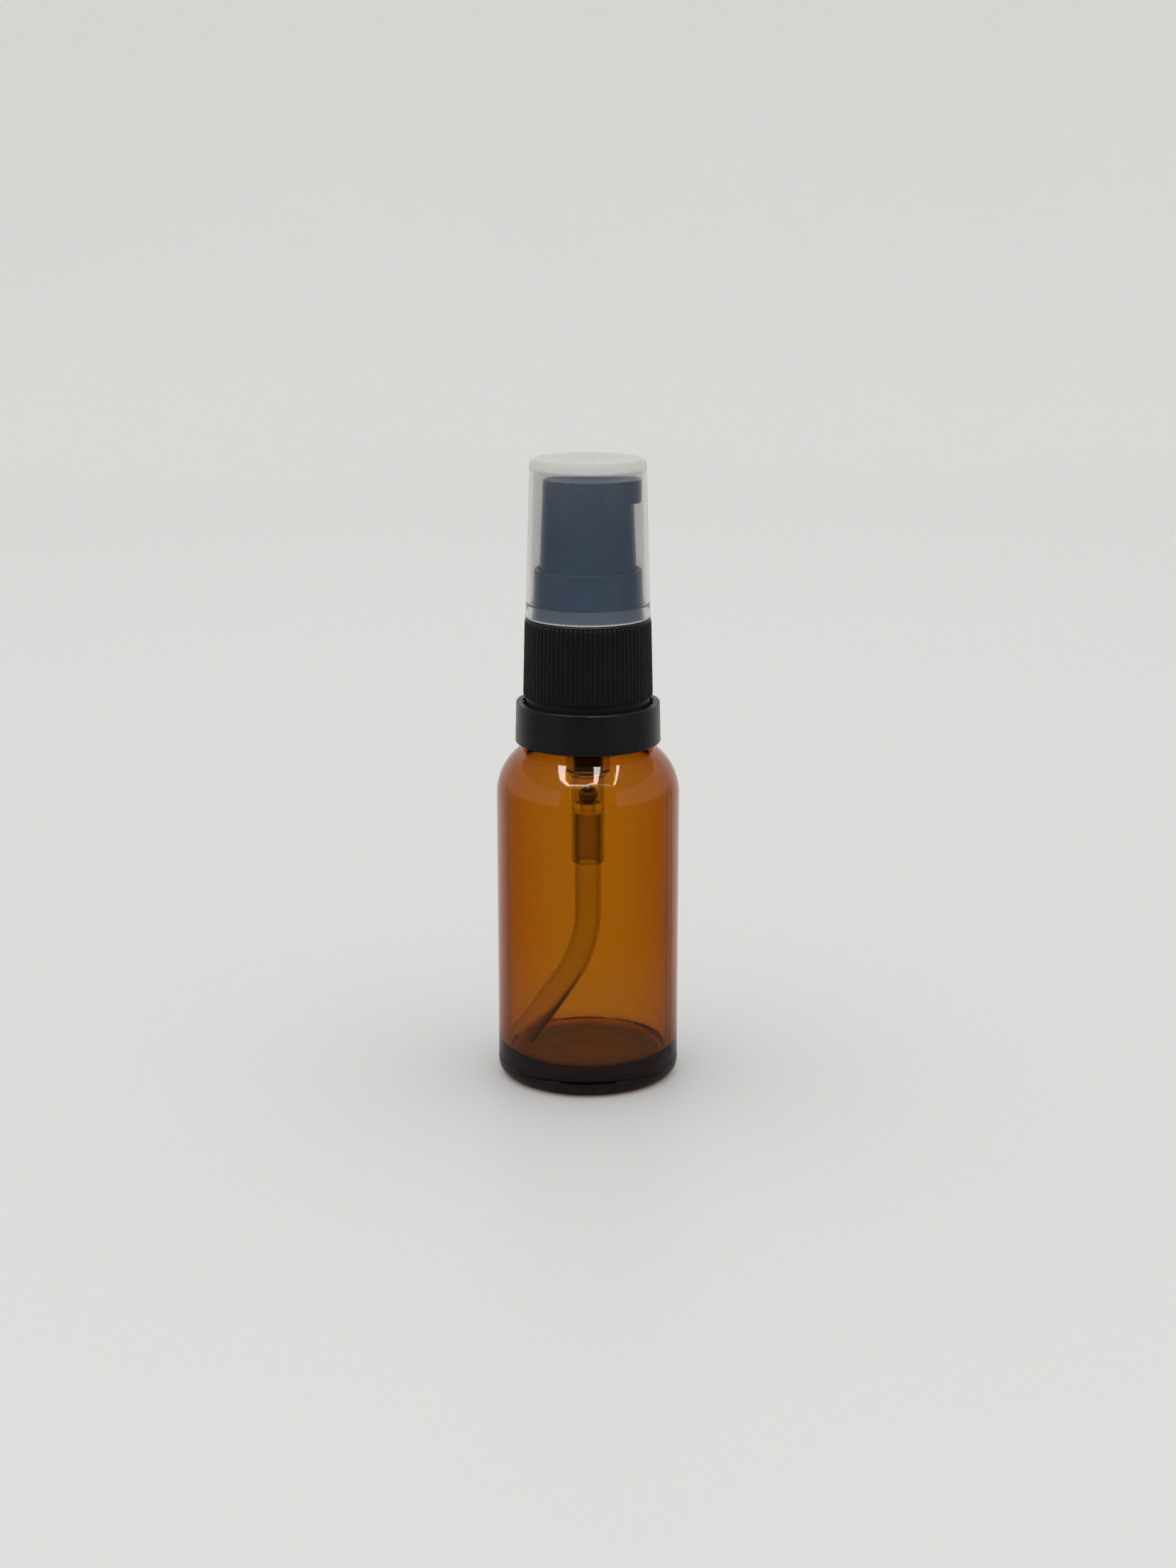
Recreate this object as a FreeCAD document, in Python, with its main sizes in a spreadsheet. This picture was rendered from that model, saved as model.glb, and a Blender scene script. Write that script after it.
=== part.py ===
"""Pump spray bottle: a small glass bottle with a screw-on finger pump and a push-on overcap.

Millimetres, +Z up, the origin at the centre of the base. The nozzle points along +X.
Every size is a cell of the sheet "Sizes", and every sketch and placement is bound to those cells.
Heights whose names end in _z are measured from the base, with the bottle closed and at rest.
"""

import FreeCAD, Part
import math
import os
import re
import Sketcher

SIZES = {
    # Glass bottle
    "bottle_radius": 14.5,
    "glass_wall": 1.9,
    "heel_radius": 2.0,
    "base_hollow_radius": 10.5,
    "base_hollow_depth": 0.7,
    "floor_z": 4.15,
    "floor_corner": 1.5,
    "shoulder_z": 46.2,
    "shoulder_radius": 9.0,
    "shoulder_blend": 1.0,
    "throat_blend": 1.2,
    "neck_radius": 8.6,
    "throat_radius": 5.5,
    "neck_top_z": 71.0,
    "lip_round": 0.4,
    "bead_radius": 9.5,
    "bead_z": 56.9,
    "bead_rise": 0.4,
    "bead_land": 0.6,
    "bead_slope": 0.7,
    # Screw thread of the neck and the collar
    "thread_pitch": 3.0,
    "thread_turns": 1.5,
    "thread_root_radius": 8.05,
    "thread_crest_radius": 8.85,
    "thread_z": 64.0,
    "tooth_root_width": 1.5,
    "tooth_crest_width": 0.6,
    "tooth_embed": 0.2,
    # Tamper ring
    "ring_bottom_z": 54.6,
    "ring_top_z": 61.0,
    "ring_bottom_radius": 11.44,
    "ring_top_radius": 11.28,
    "ring_bore_radius": 10.45,
    "ring_mouth_radius": 10.3,
    "ring_mouth_depth": 0.6,
    "ring_heel_round": 0.3,
    "ring_top_round": 0.15,
    "claw_radius": 9.0,
    "claw_top_z": 56.5,
    "claw_bottom_z": 55.3,
    "claw_lead": 0.2,
    "bridge_count": 10,
    "bridge_width": 0.6,
    "bridge_reach": 0.32,
    "bridge_height": 0.5,
    # Screw collar
    "collar_top_z": 74.4,
    "collar_roof": 1.2,
    "collar_hole_radius": 5.3,
    "collar_inner_radius": 9.15,
    "collar_thread_crest_radius": 8.35,
    "collar_thread_z": 62.5,
    "collar_top_radius": 9.88,
    "collar_grip_radius": 10.17,
    "collar_rim_land": 0.45,
    "collar_rim_round": 0.3,
    "skirt_radius": 9.75,
    "skirt_bottom_z": 58.8,
    "skirt_lead": 0.2,
    "grip_bottom_z": 62.0,
    "rib_count": 80,
    "rib_height": 0.28,
    "rib_root_width": 0.5,
    "rib_tip_width": 0.26,
    "rib_embed": 0.2,
    # Neck gasket
    "gasket_thickness": 1.0,
    "gasket_outer_radius": 8.0,
    "gasket_inner_radius": 5.9,
    # Pump housing
    "housing_radius": 3.45,
    "housing_bore_radius": 2.85,
    "housing_bottom_z": 35.0,
    "housing_foot_round": 0.35,
    "socket_radius": 2.12,
    "socket_wall": 0.48,
    "socket_top_z": 43.0,
    "seat_z": 44.6,
    "seat_hole_radius": 0.9,
    "ball_chamber_radius": 1.95,
    "taper_bottom_z": 49.0,
    "taper_top_z": 50.0,
    "inner_taper_lift": 0.3,
    "housing_flange_radius": 7.9,
    "housing_flange_thickness": 1.15,
    "housing_neck_radius": 4.7,
    "housing_top_z": 77.0,
    # Dip tube
    "tube_radius": 2.1,
    "tube_bore_radius": 1.6,
    "tube_top_gap": 0.05,
    "tube_bend_z": 27.1,
    "tube_bend_radius": 18.5,
    "tube_bend_angle": 37.5,
    "tube_heading": 198.0,
    "tube_wall_gap": 0.15,
    # Inlet ball and the cage above it
    "ball_radius": 1.59,
    "ball_gap": 0.02,
    "cage_barrel_radius": 2.0,
    "cage_rib_radius": 2.25,
    "cage_rib_width": 0.35,
    "cage_rib_count": 12,
    "cage_bore_radius": 1.0,
    "cage_bottom_z": 49.7,
    "cage_top_z": 56.8,
    "cage_flange_radius": 2.8,
    "cage_flange_thickness": 0.8,
    # Return spring
    "spring_radius": 2.3,
    "wire_radius": 0.225,
    "spring_turns": 7.5,
    # Piston rod
    "rod_bottom_z": 66.4,
    "rod_flange_radius": 2.55,
    "rod_flange_thickness": 0.8,
    "rod_cone_radius": 2.2,
    "rod_cone_height": 1.5,
    "rod_pin_radius": 0.72,
    "rod_top_z": 75.7,
    "rod_pin_lead": 0.2,
    # Piston
    "piston_bottom_z": 67.9,
    "piston_top_z": 71.9,
    "piston_lip_radius": 2.8,
    "piston_waist_radius": 2.6,
    "piston_wall_inner_radius": 2.4,
    "piston_lip_inner_radius": 2.55,
    "piston_lip_height": 0.8,
    "piston_web_bottom_z": 69.3,
    "piston_web_top_z": 70.4,
    "piston_hub_radius": 2.0,
    "piston_hub_bore_radius": 1.55,
    "piston_seat_lift": 0.1,
    # Stem
    "stem_bottom_z": 69.2,
    "stem_top_z": 91.6,
    "stem_radius": 1.5,
    "stem_bore_radius": 0.75,
    "stem_flange_radius": 2.3,
    "stem_flange_bottom_z": 72.75,
    "stem_flange_top_z": 73.4,
    # Stem guide that closes the housing
    "guide_bore_radius": 1.56,
    "guide_plug_radius": 2.8,
    "guide_plug_bottom_z": 73.45,
    "guide_cap_gap": 0.05,
    "guide_cap_thickness": 0.8,
    # Guide shroud
    "shroud_boss_bore_radius": 4.75,
    "shroud_boss_radius": 5.2,
    "shroud_boss_bottom_z": 73.3,
    "shroud_bottom_z": 74.45,
    "shroud_floor": 1.0,
    "sleeve_bottom_radius": 8.58,
    "sleeve_top_radius": 8.4,
    "sleeve_bore_radius": 7.75,
    "shroud_top_z": 82.1,
    "shroud_round": 0.25,
    "snap_bead_z": 75.5,
    "snap_bead_half_height": 0.35,
    "snap_bead_radius": 8.67,
    # Actuator
    "actuator_bottom_z": 80.8,
    "actuator_top_z": 95.9,
    "actuator_bottom_radius": 7.57,
    "actuator_top_radius": 6.95,
    "actuator_wall": 0.9,
    "actuator_rim_round": 0.5,
    "cavity_top_z": 94.3,
    "boss_radius": 2.4,
    "boss_bottom_z": 86.0,
    "stem_socket_radius": 1.52,
    "stem_socket_gap": 0.05,
    "riser_radius": 0.7,
    "dish_radius": 5.9,
    "dish_flat_radius": 0.5,
    "dish_depth": 0.6,
    "nose_root_reach": 1.5,
    "nose_tip_reach": 8.05,
    "nose_height": 3.6,
    "nose_tangent_radius": 6.9,
    "nose_tangent_angle": 48.0,
    "nose_side_round": 0.7,
    "nose_under_round": 0.5,
    "duct_radius": 0.6,
    "insert_socket_radius": 1.25,
    "insert_socket_start": 6.0,
    # Nozzle insert
    "insert_radius": 1.23,
    "insert_back": 6.03,
    "insert_front": 8.0,
    "insert_chamber_radius": 0.7,
    "insert_chamber_end": 7.3,
    "orifice_radius": 0.25,
    "orifice_flare_radius": 0.55,
    "orifice_flare_depth": 0.3,
    # Overcap
    "cap_bottom_z": 74.5,
    "cap_top_z": 99.0,
    "cap_rim_radius": 9.8,
    "cap_rim_height": 1.1,
    "cap_rim_round": 0.15,
    "cap_foot_radius": 9.7,
    "cap_top_radius": 9.04,
    "cap_corner_round": 1.0,
    "cap_roof": 0.9,
    "cap_grip_radius": 8.72,
    "cap_grip_top_z": 76.5,
    "cap_ledge_height": 0.2,
    "cap_bore_foot_radius": 8.98,
    "cap_bore_top_radius": 8.3,
    "cap_inner_round": 0.5,
    "vent_bottom_width": 3.0,
    "vent_top_width": 2.6,
    "vent_count": 2,
    "vent_heading": 10.4,
    "gate_recess_radius": 1.2,
    "gate_recess_depth": 0.15,
}

LEFT = 1
RIGHT = -1
FULL_TURN = 360.0


def fill_sheet(doc):
    """Write every size to the sheet, one named cell each."""
    sheet = doc.addObject("Spreadsheet::Sheet", "Sizes")
    for row, (alias, value) in enumerate(SIZES.items(), start=1):
        sheet.set(f"A{row}", alias)
        sheet.set(f"B{row}", str(value))
        sheet.setAlias(f"B{row}", alias)
    doc.recompute()


def formula(text):
    """Give each size named in a formula its sheet's prefix."""
    return re.sub(r"[a-z_]+", lambda word: f"Sizes.{word[0]}" if word[0] in SIZES else word[0], text)


def value_of(item, text):
    """The number that a formula of sizes comes to."""
    return float(item.evalExpression(formula(text)))


def bind(item, **settings):
    """Bind properties of an object to formulas of sizes; a double underscore stands for a dot."""
    for name, text in settings.items():
        item.setExpression(name.replace("__", "."), formula(text))


def new_body(doc, name):
    """A PartDesign body whose label names the sub-part."""
    body = doc.addObject("PartDesign::Body", name)
    body.Label = name
    return body


def origin_feature(body, role):
    """One of a body's own origin planes or axes."""
    return next(item for item in body.Origin.OriginFeatures if item.Role == role)


def new_sketch(body, name, plane, lift):
    """A sketch on one of the body's origin planes, moved along its normal by a formula."""
    sketch = body.newObject("Sketcher::SketchObject", name)
    sketch.AttachmentSupport = (origin_feature(body, plane), [""])
    sketch.MapMode = "FlatFace"
    if lift:
        bind(sketch, AttachmentOffset__Base__z=lift)
    return sketch


def arc_between(start, end, radius, turn):
    """An arc from start to end, curving to the left or to the right; it is stored anticlockwise."""
    chord = end - start
    middle = (start + end) * 0.5
    reach = (radius**2 - (chord.Length / 2) ** 2) ** 0.5
    side = FreeCAD.Vector(-chord.y, chord.x, 0).normalize() * turn
    centre = middle + side * reach
    first, last = (start, end) if turn == LEFT else (end, start)
    angles = [math.atan2(point.y - centre.y, point.x - centre.x) for point in (first, last)]
    circle = Part.Circle(centre, FreeCAD.Vector(0, 0, 1), radius)
    return Part.ArcOfCircle(circle, angles[0], angles[1])


def outline(body, name, steps, plane="XZ_Plane", lift="", closed=True):
    """Draw an outline whose every corner is bound to the sheet.

    Each step is (x, y), a straight edge to that corner, or (x, y, radius, turn), an arc to it.
    The first step is the starting corner, and a closed outline ends with an edge back to it.
    """
    sketch = new_sketch(body, name, plane, lift)
    corners = [FreeCAD.Vector(value_of(body, s[0]), value_of(body, s[1]), 0) for s in steps]
    edges = list(range(1, len(steps))) + ([0] if closed else [])
    ends = []
    for target in edges:
        start, end = corners[target - 1], corners[target]
        step = steps[target]
        if target == 0 or len(step) == 2:
            index = sketch.addGeometry(Part.LineSegment(start, end))
            ends.append((index, 1, 2, target))
            continue
        radius = step[2]
        index = sketch.addGeometry(arc_between(start, end, value_of(body, radius), step[3]))
        ends.append((index, 1, 2, target) if step[3] == LEFT else (index, 2, 1, target))
        size = sketch.addConstraint(Sketcher.Constraint("Radius", index, value_of(body, radius)))
        sketch.setExpression(f"Constraints[{size}]", formula(radius))
    for place, (index, first, last, target) in enumerate(ends):
        if closed or place + 1 < len(ends):
            after = ends[(place + 1) % len(ends)]
            sketch.addConstraint(Sketcher.Constraint("Coincident", index, last, after[0], after[1]))
        pin_point(sketch, index, last, steps[target])
    if not closed:
        pin_point(sketch, ends[0][0], ends[0][1], steps[0])
    return sketch


def pin_point(sketch, index, end, step):
    """Bind one end of an edge to its formulas of x and y."""
    for kind, text in (("DistanceX", step[0]), ("DistanceY", step[1])):
        size = sketch.addConstraint(Sketcher.Constraint(kind, index, end, value_of(sketch, text)))
        sketch.setExpression(f"Constraints[{size}]", formula(text))


def circles(body, name, plane, lift, centre, radii):
    """A sketch of concentric circles round a bound centre."""
    sketch = new_sketch(body, name, plane, lift)
    middle = FreeCAD.Vector(value_of(body, centre[0]), value_of(body, centre[1]), 0)
    for radius in radii:
        circle = Part.Circle(middle, FreeCAD.Vector(0, 0, 1), value_of(body, radius))
        index = sketch.addGeometry(circle)
        pin_point(sketch, index, 3, centre)
        size = sketch.addConstraint(Sketcher.Constraint("Radius", index, circle.Radius))
        sketch.setExpression(f"Constraints[{size}]", formula(radius))
    return sketch


def revolve(body, name, steps, axis="V_Axis"):
    """Turn an outline about a sketch axis into a solid."""
    sketch = outline(body, f"{name}_outline", steps)
    turned = body.newObject("PartDesign::Revolution", name)
    turned.Profile = sketch
    turned.ReferenceAxis = (sketch, [axis])
    turned.Angle = FULL_TURN
    return turned


def cut_by(body, feature, before, name):
    """Recompute and make sure that a cutting feature took material away."""
    body.Document.recompute()
    if feature.Shape.Volume >= before - 1e-6:
        raise RuntimeError(f"{name} removed nothing")


def polar(body, feature, name, count):
    """Repeat a feature round the body's Z axis."""
    pattern = body.newObject("PartDesign::PolarPattern", name)
    pattern.Originals = [feature]
    pattern.Axis = (origin_feature(body, "Z_Axis"), [""])
    pattern.Angle = FULL_TURN
    bind(pattern, Occurrences=count)
    body.Tip = pattern
    return pattern


def add_thread(body, name, root, crest, height):
    """A helical tooth of trapezium section, the same for the neck and for the collar."""
    sketch = outline(
        body,
        f"{name}_tooth",
        [
            (root, f"{height} - tooth_root_width / 2"),
            (crest, f"{height} - tooth_crest_width / 2"),
            (crest, f"{height} + tooth_crest_width / 2"),
            (root, f"{height} + tooth_root_width / 2"),
        ],
    )
    helix = body.newObject("PartDesign::AdditiveHelix", name)
    helix.Profile = sketch
    helix.ReferenceAxis = (sketch, ["V_Axis"])
    helix.Mode = "pitch-height-angle"
    bind(helix, Pitch="thread_pitch", Height="thread_pitch * thread_turns")
    return helix


def edges_where(shape, wanted):
    """Names of the edges whose middle point passes a test."""
    names = []
    for number, edge in enumerate(shape.Edges, start=1):
        middle = edge.valueAt((edge.FirstParameter + edge.LastParameter) / 2)
        if wanted(edge, middle):
            names.append(f"Edge{number}")
    return names


def round_edges(body, feature, name, radius, wanted):
    """Fillet the edges of a feature that pass a test."""
    body.Document.recompute()
    fillet = body.newObject("PartDesign::Fillet", name)
    fillet.Base = (feature, edges_where(feature.Shape, wanted))
    bind(fillet, Radius=radius)
    body.Tip = fillet
    return fillet


def make_bottle(doc):
    """Glass bottle with a thick base, a round shoulder and a threaded neck."""
    body = new_body(doc, "bottle")
    axis = "(bottle_radius - shoulder_radius)"
    outside = f"(neck_radius + shoulder_blend - {axis})"
    outer_reach = "(shoulder_radius + shoulder_blend)"
    outer_rise = f"sqrt({outer_reach} ^ 2 - {outside} ^ 2)"
    inside = f"(throat_radius + throat_blend - {axis})"
    inner_shoulder = "(shoulder_radius - glass_wall)"
    inner_reach = f"({inner_shoulder} + throat_blend)"
    inner_rise = f"sqrt({inner_reach} ^ 2 - {inside} ^ 2)"
    hollow = "(base_hollow_radius ^ 2 + base_hollow_depth ^ 2) / (2 * base_hollow_depth)"
    revolve(
        body,
        "glass",
        [
            ("0", "base_hollow_depth"),
            ("base_hollow_radius", "0", hollow, RIGHT),
            ("bottle_radius - heel_radius", "0"),
            ("bottle_radius", "heel_radius", "heel_radius", LEFT),
            ("bottle_radius", "shoulder_z"),
            (
                f"{axis} + {outside} * shoulder_radius / {outer_reach}",
                f"shoulder_z + {outer_rise} * shoulder_radius / {outer_reach}",
                "shoulder_radius",
                LEFT,
            ),
            ("neck_radius", f"shoulder_z + {outer_rise}", "shoulder_blend", RIGHT),
            ("neck_radius", "bead_z"),
            ("bead_radius", "bead_z + bead_rise"),
            ("bead_radius", "bead_z + bead_rise + bead_land"),
            ("thread_root_radius", "bead_z + bead_rise + bead_land + bead_slope"),
            ("thread_root_radius", "neck_top_z - lip_round"),
            ("thread_root_radius - lip_round", "neck_top_z", "lip_round", LEFT),
            ("throat_radius + lip_round", "neck_top_z"),
            ("throat_radius", "neck_top_z - lip_round", "lip_round", LEFT),
            ("throat_radius", f"shoulder_z + {inner_rise}"),
            (
                f"{axis} + {inside} * {inner_shoulder} / {inner_reach}",
                f"shoulder_z + {inner_rise} * {inner_shoulder} / {inner_reach}",
                "throat_blend",
                LEFT,
            ),
            ("bottle_radius - glass_wall", "shoulder_z", inner_shoulder, RIGHT),
            ("bottle_radius - glass_wall", "floor_z + floor_corner"),
            ("bottle_radius - glass_wall - floor_corner", "floor_z", "floor_corner", RIGHT),
            ("0", "floor_z"),
        ],
    )
    add_thread(body, "neck_thread", "thread_root_radius - tooth_embed", "thread_crest_radius", "thread_z")
    return body


def make_tamper_ring(doc):
    """Smooth ring that stays under the neck bead when the collar is first unscrewed."""
    body = new_body(doc, "tamper_ring")
    revolve(
        body,
        "ring",
        [
            ("ring_bore_radius", "ring_bottom_z"),
            ("ring_bottom_radius - ring_heel_round", "ring_bottom_z"),
            ("ring_bottom_radius", "ring_bottom_z + ring_heel_round", "ring_heel_round", LEFT),
            ("ring_top_radius", "ring_top_z - ring_top_round"),
            ("ring_top_radius - ring_top_round", "ring_top_z", "ring_top_round", LEFT),
            ("ring_mouth_radius", "ring_top_z"),
            ("ring_mouth_radius", "ring_top_z - ring_mouth_depth"),
            ("ring_bore_radius", "ring_top_z - ring_mouth_depth"),
            ("ring_bore_radius", "claw_top_z"),
            ("claw_radius + claw_lead", "claw_top_z"),
            ("claw_radius", "claw_top_z - claw_lead"),
            ("claw_radius", "claw_top_z - 3 * claw_lead"),
            ("ring_bore_radius", "claw_bottom_z"),
        ],
    )
    stub = outline(
        body,
        "bridge_outline",
        [
            ("ring_mouth_radius - bridge_reach", "-bridge_width / 2"),
            ("ring_mouth_radius + bridge_reach", "-bridge_width / 2"),
            ("ring_mouth_radius + bridge_reach", "bridge_width / 2"),
            ("ring_mouth_radius - bridge_reach", "bridge_width / 2"),
        ],
        plane="XY_Plane",
        lift="ring_top_z - ring_mouth_depth",
    )
    pad = body.newObject("PartDesign::Pad", "bridge_stub")
    pad.Profile = stub
    bind(pad, Length="bridge_height")
    polar(body, pad, "bridge_stubs", "bridge_count")
    return body


def make_screw_collar(doc):
    """Collar that clamps the pump to the neck, with a ribbed grip and an inside thread."""
    body = new_body(doc, "screw_collar")
    rim_bottom = "collar_top_z - collar_rim_land"
    revolve(
        body,
        "shell",
        [
            ("collar_inner_radius", "skirt_bottom_z"),
            ("skirt_radius - skirt_lead", "skirt_bottom_z"),
            ("skirt_radius", "skirt_bottom_z + skirt_lead"),
            ("skirt_radius", "grip_bottom_z"),
            ("collar_grip_radius - rib_height", "grip_bottom_z"),
            ("collar_top_radius - rib_height", rim_bottom),
            ("collar_top_radius", rim_bottom),
            ("collar_top_radius", "collar_top_z - collar_rim_round"),
            ("collar_top_radius - collar_rim_round", "collar_top_z", "collar_rim_round", LEFT),
            ("collar_hole_radius", "collar_top_z"),
            ("collar_hole_radius", "collar_top_z - collar_roof"),
            ("collar_inner_radius", "collar_top_z - collar_roof"),
        ],
    )
    add_thread(
        body,
        "collar_thread",
        "collar_inner_radius + tooth_embed",
        "collar_thread_crest_radius",
        "collar_thread_z",
    )
    sections = []
    for end, tip, height in (
        ("bottom", "collar_grip_radius", "grip_bottom_z"),
        ("top", "collar_top_radius", rim_bottom),
    ):
        root = f"{tip} - rib_height - rib_embed"
        sections.append(
            outline(
                body,
                f"rib_{end}",
                [
                    (root, "-rib_root_width / 2"),
                    (tip, "-rib_tip_width / 2"),
                    (tip, "rib_tip_width / 2"),
                    (root, "rib_root_width / 2"),
                ],
                plane="XY_Plane",
                lift=height,
            )
        )
    rib = body.newObject("PartDesign::AdditiveLoft", "rib")
    rib.Profile = sections[0]
    rib.Sections = [sections[1]]
    polar(body, rib, "grip_ribs", "rib_count")
    return body


def make_neck_gasket(doc):
    """Flat washer that seals the pump flange on the bottle's lip."""
    discs = []
    for name, radius in (("gasket_disc", "gasket_outer_radius"), ("gasket_hole", "gasket_inner_radius")):
        disc = doc.addObject("Part::Cylinder", name)
        bind(disc, Radius=radius, Height="gasket_thickness")
        discs.append(disc)
    washer = doc.addObject("Part::Cut", "neck_gasket")
    washer.Base, washer.Tool = discs
    washer.Label = "neck_gasket"
    bind(washer, Placement__Base__z="neck_top_z")
    return washer


def make_pump_housing(doc):
    """Stepped barrel: pump chamber above, ball valve and dip tube socket below."""
    body = new_body(doc, "pump_housing")
    flange_bottom = "neck_top_z + gasket_thickness"
    flange_top = f"{flange_bottom} + housing_flange_thickness"
    foot_radius = "socket_radius + socket_wall"
    revolve(
        body,
        "barrel",
        [
            ("socket_radius", "housing_bottom_z"),
            (f"{foot_radius} - housing_foot_round", "housing_bottom_z"),
            (foot_radius, "housing_bottom_z + housing_foot_round", "housing_foot_round", LEFT),
            (foot_radius, "taper_bottom_z"),
            ("housing_radius", "taper_top_z"),
            ("housing_radius", flange_bottom),
            ("housing_flange_radius", flange_bottom),
            ("housing_flange_radius", flange_top),
            ("housing_neck_radius", flange_top),
            ("housing_neck_radius", "housing_top_z"),
            ("housing_bore_radius", "housing_top_z"),
            ("housing_bore_radius", "taper_top_z + inner_taper_lift"),
            ("ball_chamber_radius", "taper_bottom_z + inner_taper_lift"),
            ("ball_chamber_radius", "seat_z"),
            ("seat_hole_radius", "seat_z"),
            ("seat_hole_radius", "socket_top_z"),
            ("socket_radius", "socket_top_z"),
        ],
    )
    return body


def make_dip_tube(doc):
    """Suction tube, bent so that its end meets the bottle's wall just above the floor."""
    body = new_body(doc, "dip_tube")
    top = "socket_top_z - tube_top_gap"
    bend_reach = "tube_bend_radius * (1 - cos(tube_bend_angle))"
    bend_end = "tube_bend_z - tube_bend_radius * sin(tube_bend_angle)"
    end_reach = "bottle_radius - glass_wall - tube_wall_gap - tube_radius * cos(tube_bend_angle)"
    end_drop = f"({end_reach} - {bend_reach}) / tan(tube_bend_angle)"
    path = outline(
        body,
        "tube_path",
        [
            ("0", top),
            ("0", "tube_bend_z"),
            (bend_reach, bend_end, "tube_bend_radius", LEFT),
            (end_reach, f"{bend_end} - {end_drop}"),
        ],
        closed=False,
    )
    section = circles(body, "tube_section", "XY_Plane", top, ("0", "0"), ("tube_radius", "tube_bore_radius"))
    pipe = body.newObject("PartDesign::AdditivePipe", "tube")
    pipe.Profile = section
    pipe.Spine = (path, [])
    bind(body, Placement__Rotation__Angle="tube_heading")
    return body


def make_inlet_ball(doc):
    """Ball that closes the inlet seat under its own weight."""
    ball = doc.addObject("Part::Sphere", "inlet_ball")
    ball.Label = "inlet_ball"
    rest = "seat_z + sqrt(ball_radius ^ 2 - seat_hole_radius ^ 2) + ball_gap"
    bind(ball, Radius="ball_radius", Placement__Base__z=rest)
    return ball


def make_valve_cage(doc):
    """Ribbed insert that stops the inlet ball and carries the return spring."""
    body = new_body(doc, "valve_cage")
    flange_bottom = "cage_top_z - cage_flange_thickness"
    revolve(
        body,
        "cage",
        [
            ("cage_bore_radius", "cage_bottom_z"),
            ("cage_barrel_radius", "cage_bottom_z"),
            ("cage_barrel_radius", flange_bottom),
            ("cage_flange_radius", flange_bottom),
            ("cage_flange_radius", "cage_top_z"),
            ("cage_bore_radius", "cage_top_z"),
        ],
    )
    inner = "(cage_barrel_radius + cage_bore_radius) / 2"
    rib = outline(
        body,
        "cage_rib_outline",
        [
            (inner, "-cage_rib_width / 2"),
            ("cage_rib_radius", "-cage_rib_width / 2"),
            ("cage_rib_radius", "cage_rib_width / 2"),
            (inner, "cage_rib_width / 2"),
        ],
        plane="XY_Plane",
        lift="cage_bottom_z",
    )
    pad = body.newObject("PartDesign::Pad", "cage_rib")
    pad.Profile = rib
    bind(pad, Length=f"{flange_bottom} - cage_bottom_z")
    polar(body, pad, "cage_ribs", "cage_rib_count")
    return body


def make_return_spring(doc):
    """Helical spring between the cage's flange and the piston rod's flange."""
    body = new_body(doc, "return_spring")
    start = "cage_top_z + wire_radius"
    wire = circles(body, "wire_section", "XZ_Plane", "", ("spring_radius", start), ("wire_radius",))
    coil = body.newObject("PartDesign::AdditiveHelix", "coil")
    coil.Profile = wire
    coil.ReferenceAxis = (wire, ["V_Axis"])
    coil.Mode = "height-turns-angle"
    bind(coil, Height="rod_bottom_z - cage_top_z - 2 * wire_radius", Turns="spring_turns")
    return body


def make_piston_rod(doc):
    """Rod plugged into the stem: it carries the piston's seat and takes the spring."""
    body = new_body(doc, "piston_rod")
    flange_top = "rod_bottom_z + rod_flange_thickness"
    revolve(
        body,
        "rod",
        [
            ("0", "rod_bottom_z"),
            ("rod_flange_radius", "rod_bottom_z"),
            ("rod_flange_radius", flange_top),
            ("rod_cone_radius", flange_top),
            ("rod_pin_radius", f"{flange_top} + rod_cone_height"),
            ("rod_pin_radius", "rod_top_z - rod_pin_lead"),
            ("rod_pin_radius - rod_pin_lead", "rod_top_z"),
            ("0", "rod_top_z"),
        ],
    )
    return body


def make_piston(doc):
    """Soft piston with a lip at each end, sliding on the stem to open the outlet."""
    body = new_body(doc, "piston")
    low_waist = "piston_bottom_z + piston_lip_height"
    high_waist = "piston_top_z - piston_lip_height"
    revolve(
        body,
        "cup",
        [
            ("piston_hub_bore_radius", "piston_bottom_z + piston_seat_lift"),
            ("piston_hub_radius", "piston_bottom_z + piston_seat_lift"),
            ("piston_hub_radius", "piston_web_bottom_z"),
            ("piston_wall_inner_radius", "piston_web_bottom_z"),
            ("piston_wall_inner_radius", low_waist),
            ("piston_lip_inner_radius", "piston_bottom_z"),
            ("piston_lip_radius", "piston_bottom_z"),
            ("piston_waist_radius", low_waist),
            ("piston_waist_radius", high_waist),
            ("piston_lip_radius", "piston_top_z"),
            ("piston_lip_inner_radius", "piston_top_z"),
            ("piston_wall_inner_radius", high_waist),
            ("piston_wall_inner_radius", "piston_web_top_z"),
            ("piston_hub_radius", "piston_web_top_z"),
            ("piston_hub_radius", "piston_top_z"),
            ("piston_hub_bore_radius", "piston_top_z"),
        ],
    )
    return body


def make_stem(doc):
    """Hollow stem that carries the actuator and pushes the piston down."""
    body = new_body(doc, "stem")
    revolve(
        body,
        "tube",
        [
            ("stem_bore_radius", "stem_bottom_z"),
            ("stem_radius", "stem_bottom_z"),
            ("stem_radius", "stem_flange_bottom_z"),
            ("stem_flange_radius", "stem_flange_bottom_z"),
            ("stem_flange_radius", "stem_flange_top_z"),
            ("stem_radius", "stem_flange_top_z"),
            ("stem_radius", "stem_top_z"),
            ("stem_bore_radius", "stem_top_z"),
        ],
    )
    return body


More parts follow.
